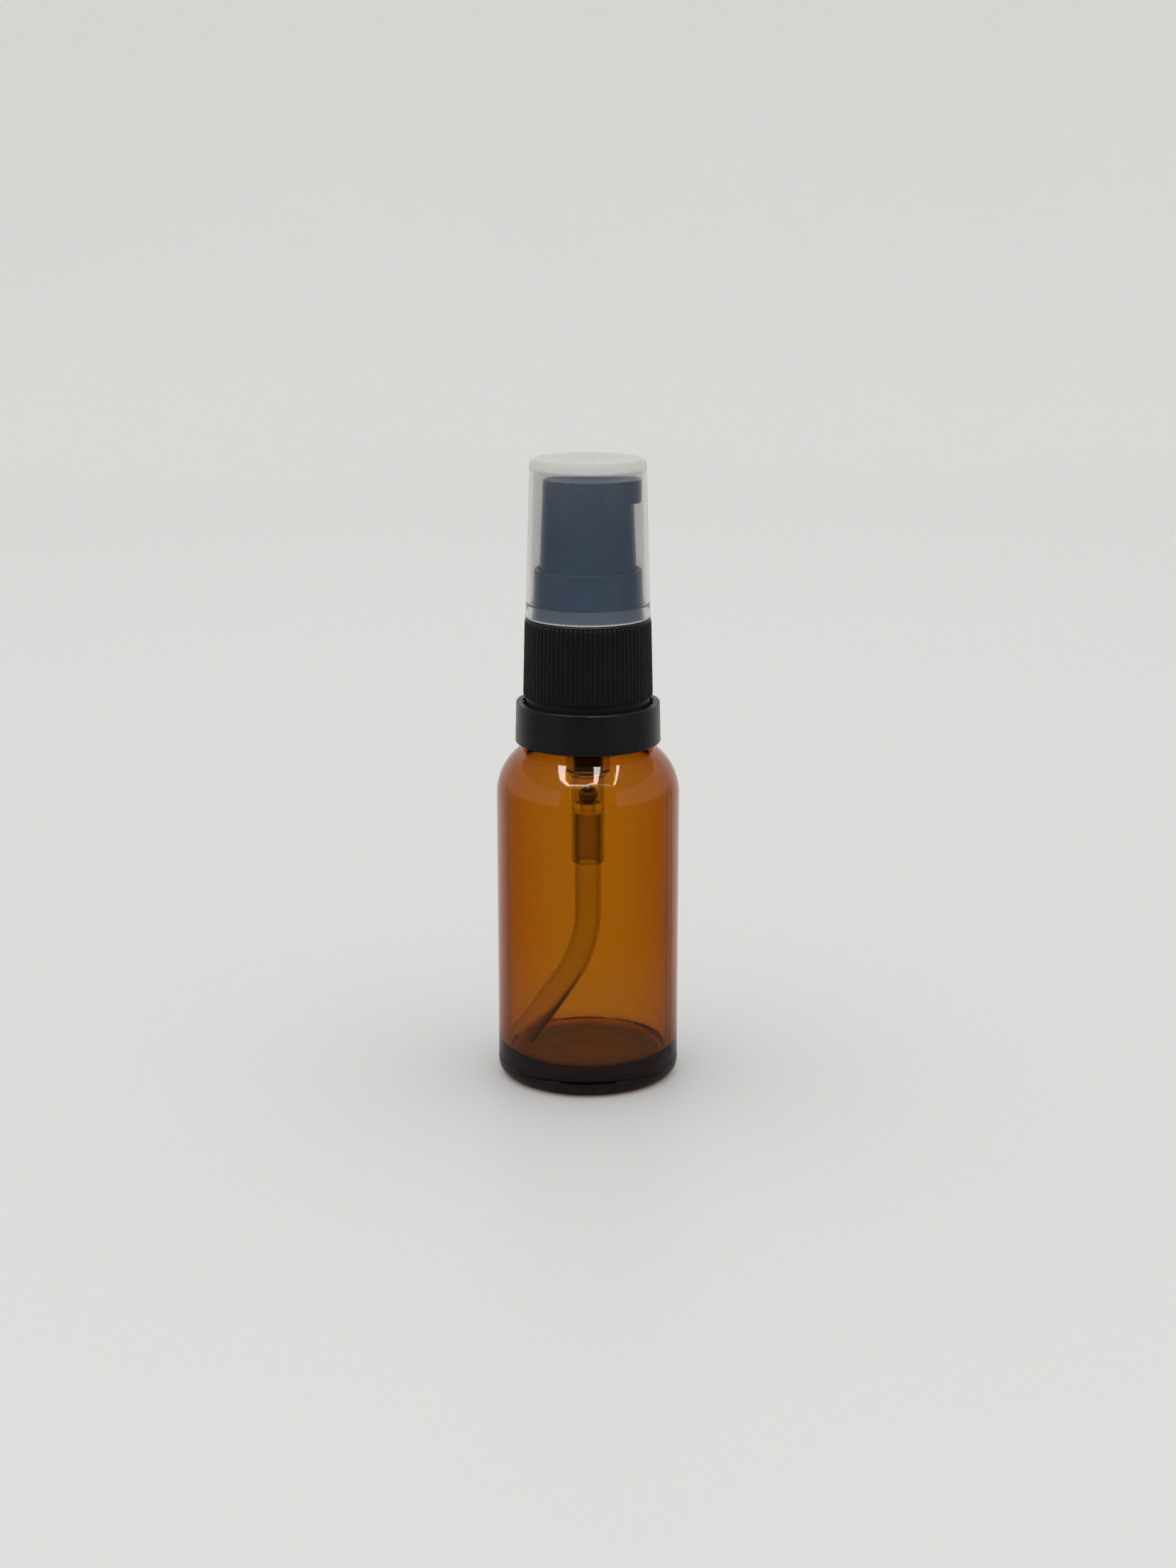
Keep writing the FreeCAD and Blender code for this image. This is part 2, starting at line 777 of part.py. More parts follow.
def make_stem_guide(doc):
    """Plug that closes the housing, guides the stem and stops its upward stroke."""
    body = new_body(doc, "stem_guide")
    cap_bottom = "housing_top_z + guide_cap_gap"
    cap_top = f"{cap_bottom} + guide_cap_thickness"
    revolve(
        body,
        "plug",
        [
            ("guide_bore_radius", "guide_plug_bottom_z"),
            ("guide_plug_radius", "guide_plug_bottom_z"),
            ("guide_plug_radius", cap_bottom),
            ("housing_neck_radius", cap_bottom),
            ("housing_neck_radius", cap_top),
            ("guide_bore_radius", cap_top),
        ],
    )
    return body


def make_guide_shroud(doc):
    """Sleeve on the pump that guides the actuator, with a bead that the overcap snaps over."""
    body = new_body(doc, "guide_shroud")
    floor_top = "shroud_bottom_z + shroud_floor"
    revolve(
        body,
        "sleeve",
        [
            ("shroud_boss_bore_radius", "shroud_boss_bottom_z"),
            ("shroud_boss_radius", "shroud_boss_bottom_z"),
            ("shroud_boss_radius", "shroud_bottom_z"),
            ("sleeve_bottom_radius", "shroud_bottom_z"),
            ("sleeve_bottom_radius", "snap_bead_z - snap_bead_half_height"),
            ("snap_bead_radius", "snap_bead_z"),
            ("sleeve_bottom_radius", "snap_bead_z + snap_bead_half_height"),
            ("sleeve_top_radius", "shroud_top_z - shroud_round"),
            ("sleeve_top_radius - shroud_round", "shroud_top_z", "shroud_round", LEFT),
            ("sleeve_bore_radius", "shroud_top_z"),
            ("sleeve_bore_radius", floor_top),
            ("shroud_boss_bore_radius", floor_top),
        ],
    )
    return body


def make_actuator(doc):
    """Conical push button with a finger dish and a short nozzle nose."""
    body = new_body(doc, "actuator")
    button = revolve(
        body,
        "button",
        [
            ("0", "actuator_top_z - nose_height / 2"),
            ("riser_radius", "actuator_top_z - nose_height / 2"),
            ("riser_radius", "stem_top_z + stem_socket_gap"),
            ("stem_socket_radius", "stem_top_z + stem_socket_gap"),
            ("stem_socket_radius", "boss_bottom_z"),
            ("boss_radius", "boss_bottom_z"),
            ("boss_radius", "cavity_top_z"),
            ("actuator_top_radius - actuator_wall", "cavity_top_z"),
            ("actuator_bottom_radius - actuator_wall", "actuator_bottom_z"),
            ("actuator_bottom_radius", "actuator_bottom_z"),
            ("actuator_top_radius", "actuator_top_z - actuator_rim_round"),
            ("actuator_top_radius - actuator_rim_round", "actuator_top_z", "actuator_rim_round", LEFT),
            ("0", "actuator_top_z"),
        ],
    )
    touch_x = "nose_tangent_radius * cos(nose_tangent_angle)"
    touch_y = "nose_tangent_radius * sin(nose_tangent_angle)"
    tip_y = "(nose_tangent_radius - nose_tip_reach * cos(nose_tangent_angle)) / sin(nose_tangent_angle)"
    nose = outline(
        body,
        "nose_outline",
        [
            ("nose_root_reach", f"-{touch_y}"),
            (touch_x, f"-{touch_y}"),
            ("nose_tip_reach", f"-{tip_y}"),
            ("nose_tip_reach", tip_y),
            (touch_x, touch_y),
            ("nose_root_reach", touch_y),
        ],
        plane="XY_Plane",
        lift="actuator_top_z - nose_height",
    )
    pad = body.newObject("PartDesign::Pad", "nose")
    pad.Profile = nose
    bind(pad, Length="nose_height")
    tip = value_of(body, "nose_tip_reach")
    bottom = value_of(body, "actuator_top_z - nose_height")
    middle = value_of(body, "actuator_top_z - nose_height / 2")
    tip_side = value_of(body, tip_y)

    def tip_corner(edge, point):
        """The two upright edges of the nose's tip."""
        near_side = abs(abs(point.y) - tip_side) < 0.01
        return abs(point.x - tip) < 0.01 and near_side and abs(point.z - middle) < 0.01

    def tip_underside(edge, point):
        """The nose tip's lower edge."""
        return abs(point.x - tip) < 0.01 and abs(point.y) < 0.01 and abs(point.z - bottom) < 0.01

    sides = round_edges(body, pad, "nose_corners", "nose_side_round", tip_corner)
    under = round_edges(body, sides, "nose_underside", "nose_under_round", tip_underside)
    doc.recompute()
    dish_run = "(dish_radius - dish_flat_radius)"
    dish = outline(
        body,
        "dish_outline",
        [
            ("0", "actuator_top_z + dish_depth"),
            ("0", "actuator_top_z - dish_depth"),
            ("dish_flat_radius", "actuator_top_z - dish_depth"),
            ("dish_radius", "actuator_top_z", f"({dish_run} ^ 2 + dish_depth ^ 2) / (2 * dish_depth)", LEFT),
            ("dish_radius", "actuator_top_z + dish_depth"),
        ],
    )
    groove = body.newObject("PartDesign::Groove", "finger_dish")
    groove.Profile = dish
    groove.ReferenceAxis = (dish, ["V_Axis"])
    groove.Angle = FULL_TURN
    cut_by(body, groove, under.Shape.Volume, "finger dish")
    centre = ("0", "actuator_top_z - nose_height / 2")
    before = groove
    for name, radius, start in (
        ("duct", "duct_radius", "0"),
        ("insert_socket", "insert_socket_radius", "insert_socket_start"),
    ):
        ring = circles(body, f"{name}_circle", "YZ_Plane", start, centre, (radius,))
        bore = body.newObject("PartDesign::Pocket", name)
        bore.Profile = ring
        bore.Reversed = True
        bind(bore, Length=f"nose_tip_reach - {start}")
        cut_by(body, bore, before.Shape.Volume, name)
        before = bore
    if button.Shape.isNull():
        raise RuntimeError("the actuator's button is empty")
    return body


def make_nozzle_insert(doc):
    """Small cup pressed into the nose, with the spray orifice."""
    body = new_body(doc, "nozzle_insert")
    revolve(
        body,
        "cup",
        [
            ("insert_back", "insert_chamber_radius"),
            ("insert_chamber_end", "insert_chamber_radius"),
            ("insert_chamber_end", "orifice_radius"),
            ("insert_front - orifice_flare_depth", "orifice_radius"),
            ("insert_front", "orifice_flare_radius"),
            ("insert_front", "insert_radius"),
            ("insert_back", "insert_radius"),
        ],
        axis="H_Axis",
    )
    bind(body, Placement__Base__z="actuator_top_z - nose_height / 2")
    return body


def make_overcap(doc):
    """Tapered clear cap whose thick mouth snaps over the shroud's bead, with two vent slots inside."""
    body = new_body(doc, "overcap")
    roof = "cap_top_z - cap_roof"
    ledge_top = "cap_grip_top_z + cap_ledge_height"
    shell = revolve(
        body,
        "shell",
        [
            ("cap_grip_radius", "cap_bottom_z"),
            ("cap_rim_radius - cap_rim_round", "cap_bottom_z"),
            ("cap_rim_radius", "cap_bottom_z + cap_rim_round", "cap_rim_round", LEFT),
            ("cap_foot_radius", "cap_bottom_z + cap_rim_height"),
            ("cap_top_radius", "cap_top_z - cap_corner_round"),
            ("cap_top_radius - cap_corner_round", "cap_top_z", "cap_corner_round", LEFT),
            ("gate_recess_radius", "cap_top_z"),
            ("gate_recess_radius", "cap_top_z - gate_recess_depth"),
            ("0", "cap_top_z - gate_recess_depth"),
            ("0", roof),
            ("cap_bore_top_radius - cap_inner_round", roof),
            ("cap_bore_top_radius", f"{roof} - cap_inner_round", "cap_inner_round", RIGHT),
            ("cap_bore_foot_radius", ledge_top),
            ("cap_grip_radius", "cap_grip_top_z"),
        ],
    )
    slot = outline(
        body,
        "vent_outline",
        [
            ("-vent_bottom_width / 2", "cap_bottom_z"),
            ("vent_bottom_width / 2", "cap_bottom_z"),
            ("vent_top_width / 2", ledge_top),
            ("-vent_top_width / 2", ledge_top),
        ],
    )
    doc.recompute()
    pocket = body.newObject("PartDesign::Pocket", "vent")
    pocket.Profile = slot
    pocket.Reversed = True
    bind(pocket, Length="cap_bore_foot_radius")
    cut_by(body, pocket, shell.Shape.Volume, "vent")
    polar(body, pocket, "vents", "vent_count")
    bind(body, Placement__Rotation__Angle="vent_heading")
    return body


def check_document(doc):
    """Stop if anything in the document failed to compute."""
    for item in doc.Objects:
        if "Invalid" in item.State or "Error" in item.State:
            raise RuntimeError(f"{item.Name} failed: {item.State}")
        if item.isDerivedFrom("Sketcher::SketchObject") and item.solve() != 0:
            raise RuntimeError(f"{item.Name} has no solution")


def write_parts(parts):
    """Write each sub-part to its own file once its shape is known to be sound."""
    os.makedirs("parts", exist_ok=True)
    for part in parts:
        shape = part.Shape
        if shape.isNull() or not shape.isValid() or len(shape.Solids) != 1:
            raise RuntimeError(f"{part.Label} isn't one valid solid")
        shape.exportStep(f"parts/{part.Label}.step")
        box = shape.BoundBox
        print(f"{part.Label:15s} {shape.Volume:9.2f} mm3  z {box.ZMin:6.2f} to {box.ZMax:6.2f}")


def main():
    """Build the document and write the parts."""
    doc = FreeCAD.newDocument("pump_spray_bottle")
    fill_sheet(doc)
    makers = (
        make_bottle,
        make_tamper_ring,
        make_screw_collar,
        make_neck_gasket,
        make_pump_housing,
        make_dip_tube,
        make_inlet_ball,
        make_valve_cage,
        make_return_spring,
        make_piston_rod,
        make_piston,
        make_stem,
        make_stem_guide,
        make_guide_shroud,
        make_actuator,
        make_nozzle_insert,
        make_overcap,
    )
    parts = [make(doc) for make in makers]
    doc.recompute()
    check_document(doc)
    write_parts(parts)


main()
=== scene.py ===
"""Scene of a small amber glass spray bottle with a finger pump and a clear overcap.

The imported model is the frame. The glass, the screw collar and the overcap are modelled again
here, and the other nodes keep their shape and get their finishes here.
Sizes in the classes are millimetres from the centre of the base, +Z up, the nozzle along +X.
"""

import logging
import math
from dataclasses import dataclass
from enum import Enum
from typing import Callable, Sequence

import bmesh
import bpy
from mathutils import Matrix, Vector

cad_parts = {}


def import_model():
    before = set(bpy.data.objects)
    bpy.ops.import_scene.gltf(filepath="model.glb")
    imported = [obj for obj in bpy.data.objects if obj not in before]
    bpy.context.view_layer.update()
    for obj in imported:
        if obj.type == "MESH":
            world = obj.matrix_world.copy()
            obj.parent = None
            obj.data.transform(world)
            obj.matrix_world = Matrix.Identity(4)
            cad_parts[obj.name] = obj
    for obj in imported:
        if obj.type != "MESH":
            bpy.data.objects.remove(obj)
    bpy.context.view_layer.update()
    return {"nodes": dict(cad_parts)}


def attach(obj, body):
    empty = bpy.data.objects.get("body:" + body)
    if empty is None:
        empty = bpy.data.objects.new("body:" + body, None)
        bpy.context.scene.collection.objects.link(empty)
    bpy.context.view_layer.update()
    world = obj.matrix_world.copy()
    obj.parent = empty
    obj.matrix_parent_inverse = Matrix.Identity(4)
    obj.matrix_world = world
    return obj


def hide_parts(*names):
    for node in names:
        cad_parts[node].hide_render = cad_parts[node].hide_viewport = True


LOG = logging.getLogger("spray_bottle")
MM = 0.001
FULL_TURN = math.tau
MERGE_DISTANCE = 1.5e-6
SAME_PLACE = 4e-6
SMOOTH_ANGLE = 32.0

Spot = tuple[float, float]
Test = Callable[[Vector], bool]


class Body(Enum):
    """The bodies of the frame that new pieces ride on."""

    BOTTLE = "bottle"
    COLLAR = "collar"
    OVERCAP = "overcap"


class Slot(Enum):
    """Names of the record's material slots."""

    AMBER_GLASS = "amber_glass"
    BLACK_CLOSURE = "black_closure"
    CLEAR_CAP = "clear_cap"


# ---------------------------------------------------------------------------
# Sections and modelling
# ---------------------------------------------------------------------------


@dataclass(frozen=True)
class Corner:
    """A corner of a half section: its radius, height and the round on it."""

    r: float
    z: float
    ease: float = 0.0


class Section:
    """A half section drawn spot by spot, in millimetres from the axis."""

    def __init__(self) -> None:
        """Start with no spots."""
        self.spots: list[Spot] = []

    def to(self, r: float, z: float) -> "Section":
        """Add one spot.

        Args:
            r: Distance from the axis.
            z: Height.

        Returns:
            The section, so that calls can follow each other.
        """
        self.spots.append((r, z))
        return self

    def run(self, r: float, z: float, step: float) -> "Section":
        """Add a straight run of evenly spaced spots up to a place.

        Args:
            r: Distance from the axis at the end of the run.
            z: Height at the end of the run.
            step: Greatest distance between two spots.

        Returns:
            The section.
        """
        r0, z0 = self.spots[-1]
        count = max(1, math.ceil(math.hypot(r - r0, z - z0) / step))
        for k in range(1, count + 1):
            self.spots.append((r0 + (r - r0) * k / count, z0 + (z - z0) * k / count))
        return self

    def bend(self, centre: Spot, radius: float, start: float, end: float, steps: int) -> "Section":
        """Add an arc, both of its ends among its spots.

        Args:
            centre: Centre of the arc.
            radius: Radius of the arc.
            start: Angle of its first spot in degrees, from outwards towards up.
            end: Angle of its last spot in degrees.
            steps: Number of straight pieces.

        Returns:
            The section.
        """
        for k in range(steps + 1):
            angle = math.radians(start + (end - start) * k / steps)
            self.spots.append(
                (centre[0] + radius * math.cos(angle), centre[1] + radius * math.sin(angle))
            )
        return self

    def corners(self, corners: Sequence[Corner], steps: int = 4) -> "Section":
        """Add corners, each with its round, between the first and the last, which are sharp.

        Args:
            corners: The corners in order.
            steps: Straight pieces in each round.

        Returns:
            The section.
        """
        for k, corner in enumerate(corners):
            if corner.ease == 0.0 or k in (0, len(corners) - 1):
                self.to(corner.r, corner.z)
                continue
            here = Vector((corner.r, corner.z))
            back = (Vector((corners[k - 1].r, corners[k - 1].z)) - here).normalized()
            ahead = (Vector((corners[k + 1].r, corners[k + 1].z)) - here).normalized()
            half = back.angle(ahead) / 2
            centre = here + (back + ahead).normalized() * (corner.ease / math.sin(half))
            reach = corner.ease / math.tan(half)
            first, last = here + back * reach - centre, here + ahead * reach - centre
            start = math.degrees(math.atan2(first.y, first.x))
            sweep = math.degrees(math.atan2(last.y, last.x)) - start
            sweep = (sweep + 180.0) % 360.0 - 180.0
            self.bend((centre.x, centre.y), corner.ease, start, start + sweep, steps)
        return self


class Bench:
    """Shapes one new mesh with Blender's own operators."""

    def __init__(self, name: str) -> None:
        """Name the piece that is made on the bench."""
        self.name = name
        self.piece: bpy.types.Object | None = None

    @staticmethod
    def clear() -> None:
        """Leave edit mode and select nothing."""
        if bpy.context.mode != "OBJECT":
            bpy.ops.object.mode_set(mode="OBJECT")
        bpy.ops.object.select_all(action="DESELECT")

    def adopt(self) -> None:
        """Take the object just added as the piece, with its place in its mesh, and edit it."""
        self.piece = bpy.context.object
        self.piece.name = self.piece.data.name = self.name
        bpy.ops.object.transform_apply(location=True, rotation=True, scale=True)
        bpy.ops.object.mode_set(mode="EDIT")
        bpy.ops.mesh.select_all(action="SELECT")

    def block(self, centre: Vector, size: Vector) -> None:
        """Start from a block, given its centre and size in millimetres."""
        self.clear()
        bpy.ops.mesh.primitive_cube_add(size=1.0, location=centre * MM)
        bpy.context.object.scale = size * MM
        self.adopt()

    def line(self, spots: Sequence[Vector], closed: bool) -> None:
        """Draw a line of edges by extruding one vertex from place to place.

        Args:
            spots: The line's places, in metres.
            closed: Whether the last place is joined to the first.
        """
        self.clear()
        bpy.ops.mesh.primitive_plane_add(size=MM, location=spots[0])
        self.adopt()
        bpy.ops.mesh.merge(type="CENTER")
        for before, spot in zip(spots, spots[1:]):
            bpy.ops.mesh.extrude_vertices_move(TRANSFORM_OT_translate={"value": spot - before})
        if closed:
            ends = (spots[0], spots[-1])
            self.pick(lambda at: any((at - end).length < SAME_PLACE for end in ends))
            bpy.ops.mesh.edge_face_add()

    def section(self, section: Section, heading: float, closed: bool) -> None:
        """Draw a half section in the upright plane at a heading.

        Args:
            section: The half section, in millimetres.
            heading: Direction of the plane in degrees, from +X towards +Y.
            closed: Whether the section is a loop that doesn't touch the axis.
        """
        turn = math.radians(heading)
        self.line(
            [Vector((r * math.cos(turn), r * math.sin(turn), z)) * MM for r, z in section.spots],
            closed,
        )

    def pick(self, test: Test) -> int:
        """Select the vertices whose places pass a test.

        Args:
            test: Told each vertex's place, in metres.

        Returns:
            How many were selected.
        """
        bpy.ops.mesh.select_mode(type="VERT")
        bpy.ops.mesh.select_all(action="DESELECT")
        mesh = bmesh.from_edit_mesh(self.piece.data)
        found = [vertex for vertex in mesh.verts if test(vertex.co)]
        for vertex in found:
            vertex.select = True
        mesh.select_flush(True)
        bmesh.update_edit_mesh(self.piece.data)
        return len(found)

    def turn(self, steps: int, angle: float = FULL_TURN) -> None:
        """Spin all that is drawn about the upright axis, then close the shell."""
        bpy.ops.mesh.select_all(action="SELECT")
        bpy.ops.mesh.spin(steps=steps, angle=angle, center=(0, 0, 0), axis=(0, 0, 1))
        self.merge()

    def merge(self) -> None:
        """Merge doubled vertices and point the faces outwards."""
        bpy.ops.mesh.select_all(action="SELECT")
        bpy.ops.mesh.remove_doubles(threshold=MERGE_DISTANCE)
        bpy.ops.mesh.select_all(action="SELECT")
        bpy.ops.mesh.normals_make_consistent(inside=False)

    def swell(self, test: Test, factor: float) -> None:
        """Scale the vertices that pass a test away from the upright axis."""
        if self.pick(test):
            bpy.ops.transform.resize(value=(factor, factor, 1.0), center_override=(0, 0, 0))

    def combine(self, other: "Bench", operation: str) -> None:
        """Unite another bench's piece with this one, or cut it away.

        Args:
            other: The bench whose piece is used up.
            operation: UNION or DIFFERENCE.
        """
        self.clear()
        self.piece.select_set(True)
        bpy.context.view_layer.objects.active = self.piece
        joint = self.piece.modifiers.new(operation.lower(), "BOOLEAN")
        joint.operation = operation
        joint.solver = "EXACT"
        joint.object = other.piece
        bpy.ops.object.modifier_apply(modifier=joint.name)
        bpy.data.objects.remove(other.piece)

    def finish(self, smooth_angle: float = SMOOTH_ANGLE) -> bpy.types.Object:
        """Leave edit mode and smooth the piece.

        Args:
            smooth_angle: Edges sharper than this many degrees stay sharp.

        Returns:
            The finished piece.
        """
        self.clear()
        self.piece.select_set(True)
        bpy.context.view_layer.objects.active = self.piece
        bpy.ops.object.shade_smooth_by_angle(angle=math.radians(smooth_angle))
        bpy.ops.object.select_all(action="DESELECT")
        return self.piece


def distance(at: Vector) -> float:
    """A place's distance from the upright axis, in millimetres."""
    return math.hypot(at.x, at.y) / MM


def heading_of(at: Vector) -> float:
    """A place's heading about the upright axis, in degrees from +X towards +Y."""
    return math.degrees(math.atan2(at.y, at.x))


def apart(a: float, b: float) -> float:
    """Angle between two headings, in degrees."""
    return abs((a - b + 180.0) % 360.0 - 180.0)


@dataclass(frozen=True)
class Tooth:
    """A helical thread tooth of trapezium section, in millimetres."""

    root_radius: float
    crest_radius: float
    start_z: float
    pitch: float = 3.0
    turns: float = 1.5
    root_width: float = 1.5
    crest_width: float = 0.6
    steps_per_turn: int = 72
    fade: float = 0.55

    def cut(self, name: str) -> Bench:
        """Model the tooth, its ends sinking into the wall.

        Args:
            name: Name of the tooth's own mesh.

        Returns:
            The bench that holds the tooth.
        """
        bench = Bench(name)
        half_root, half_crest = self.root_width / 2, self.crest_width / 2
        corners = (
            (self.root_radius, -half_root),
            (self.crest_radius, -half_crest),
            (self.crest_radius, half_crest),
            (self.root_radius, half_root),
        )
        spots = [Vector((r, 0.0, self.start_z + z)) * MM for r, z in corners]
        bench.line(spots, True)
        bench.clear()
        bench.piece.select_set(True)
        bpy.context.view_layer.objects.active = bench.piece
        screw = bench.piece.modifiers.new("helix", "SCREW")
        screw.angle = FULL_TURN * self.turns
        screw.screw_offset = self.pitch * self.turns * MM
        screw.steps = screw.render_steps = round(self.steps_per_turn * self.turns)
        bpy.ops.object.modifier_apply(modifier=screw.name)
        bpy.ops.object.mode_set(mode="EDIT")
        bpy.ops.mesh.select_mode(type="EDGE")
        bpy.ops.mesh.select_all(action="DESELECT")
        bpy.ops.mesh.select_non_manifold(extend=False, use_boundary=True)
        bpy.ops.mesh.edge_face_add()
        rise = self.pitch * self.turns
        for end_z, end_heading in ((self.start_z, 0.0), (self.start_z + rise, 360.0 * self.turns)):
            bench.swell(
                lambda at, z=end_z, h=end_heading: apart(heading_of(at), h) < 0.5
                and abs(at.z / MM - z) < self.root_width
                and abs(distance(at) - self.crest_radius) < 0.01,
                1.0 + (self.root_radius - self.crest_radius) * self.fade / self.crest_radius,
            )
        bench.merge()
        return bench


# ---------------------------------------------------------------------------
# Finishes
# ---------------------------------------------------------------------------


def linear(code: str) -> tuple[float, float, float, float]:
    """Turn an sRGB hex colour to Blender's linear values.

    Args:
        code: Six hex digits after a hash.

    Returns:
        Red, green, blue and full alpha.
    """
    channels = []
    for place in (1, 3, 5):
        value = int(code[place : place + 2], 16) / 255.0
        channels.append(value / 12.92 if value <= 0.04045 else ((value + 0.055) / 1.055) ** 2.4)
    return (channels[0], channels[1], channels[2], 1.0)


def add_node(
    tree: bpy.types.NodeTree,
    kind: str,
    settings: dict[str, object] | None = None,
    sockets: dict[str | int, object] | None = None,
) -> bpy.types.Node:
    """Add a node, set its properties, and set or link its inputs.

    Args:
        tree: The node tree that gets it.
        kind: The node's type name.
        settings: Properties by name.
        sockets: Inputs by name or number: a value, or an output socket to link.

    Returns:
        The new node.
    """
    node = tree.nodes.new(kind)
    for name, value in (settings or {}).items():
        setattr(node, name, value)
    for name, value in (sockets or {}).items():
        if isinstance(value, bpy.types.NodeSocket):
            tree.links.new(value, node.inputs[name])
        else:
            node.inputs[name].default_value = value
    return node


def blank(name: str) -> bpy.types.Material:
    """A material whose node tree is empty."""
    material = bpy.data.materials.new(name)
    material.use_nodes = True
    material.node_tree.nodes.clear()
    return material


def per_mm(size: float) -> float:
    """Pattern scale whose features are about a size in millimetres."""
    return 1.0 / (size * MM)


@dataclass(frozen=True)
class MouldedPlastic:
    """Injection-moulded polypropylene or polyethylene, opaque and coloured through."""

    name: str
    colour: str
    worn: str
    roughness: float
    roughness_range: float
    grain_size: float
    grain_height: float
    ior: float = 1.49
    subsurface: float = 0.0

    def make(self) -> bpy.types.Material:
        """Build the material.

        Returns:
            The material: a fine spark-eroded mould grain and cloudy flow marks.
        """
        material = blank(self.name)
        tree = material.node_tree
        place = add_node(tree, "ShaderNodeTexCoord").outputs["Object"]
        flow = add_node(
            tree,
            "ShaderNodeTexNoise",
            sockets={"Vector": place, "Scale": per_mm(self.grain_size * 24.0), "Detail": 4.0},
        )
        colour = add_node(
            tree,
            "ShaderNodeMix",
            {"data_type": "RGBA"},
            {
                "Factor": flow.outputs["Fac"],
                "A": linear(self.colour),
                "B": linear(self.worn),
            },
        )
        polish = add_node(
            tree,
            "ShaderNodeMapRange",
            sockets={
                "Value": flow.outputs["Fac"],
                "To Min": self.roughness - self.roughness_range,
                "To Max": self.roughness + self.roughness_range,
            },
        )
        fine = add_node(
            tree,
            "ShaderNodeTexNoise",
            sockets={"Vector": place, "Scale": per_mm(self.grain_size), "Detail": 3.0},
        )
        bump = add_node(
            tree,
            "ShaderNodeBump",
            sockets={
                "Height": fine.outputs["Fac"],
                "Strength": 0.35,
                "Distance": self.grain_height * MM,
            },
        )
        shader = add_node(
            tree,
            "ShaderNodeBsdfPrincipled",
            sockets={
                "Base Color": colour.outputs["Result"],
                "Roughness": polish.outputs["Result"],
                "IOR": self.ior,
                "Normal": bump.outputs["Normal"],
                "Subsurface Weight": self.subsurface,
                "Subsurface Scale": MM,
            },
        )
        add_node(
            tree, "ShaderNodeOutputMaterial", sockets={"Surface": shader.outputs["BSDF"]}
        )
        return material


@dataclass(frozen=True)
class AmberGlass:
    """Moulded soda-lime glass, amber right through, so thick places are almost black."""

    name: str = "amber_soda_lime_glass"
    ior: float = 1.52
    roughness: float = 0.012
    # Loss along the ray; the base looks black because there the ray stays in glass.
    colour: str = "#f4e058"
    density: float = 1880.0
    # The mould leaves slow ripples about this long, under 0.01 mm high.
    ripple: float = 5.0
    ripple_height: float = 0.012

    def make(self) -> bpy.types.Material:
        """Build the material.

        Returns:
            Clear refraction at the surface and amber absorption inside.
        """
        material = blank(self.name)
        tree = material.node_tree
        place = add_node(tree, "ShaderNodeTexCoord").outputs["Object"]
        ripples = add_node(
            tree,
            "ShaderNodeTexNoise",
            sockets={"Vector": place, "Scale": per_mm(self.ripple), "Detail": 1.0},
        )
        bump = add_node(
            tree,
            "ShaderNodeBump",
            sockets={
                "Height": ripples.outputs["Fac"],
                "Strength": 0.5,
                "Distance": self.ripple_height * MM,
            },
        )
        shader = add_node(
            tree,
            "ShaderNodeBsdfPrincipled",
            sockets={
                "Base Color": linear("#ffffff"),
                "Roughness": self.roughness,
                "IOR": self.ior,
                "Transmission Weight": 1.0,
                "Normal": bump.outputs["Normal"],
            },
        )
        amber = add_node(
            tree,
            "ShaderNodeVolumeAbsorption",
            sockets={"Color": linear(self.colour), "Density": self.density},
        )
        add_node(
            tree,
            "ShaderNodeOutputMaterial",
            sockets={"Surface": shader.outputs["BSDF"], "Volume": amber.outputs["Volume"]},
        )
        return material


@dataclass(frozen=True)
class Thick:
    """A height in millimetres over which a clear part turns thick, and its bloom beyond it."""

    start_z: float
    end_z: float
    bloom: float


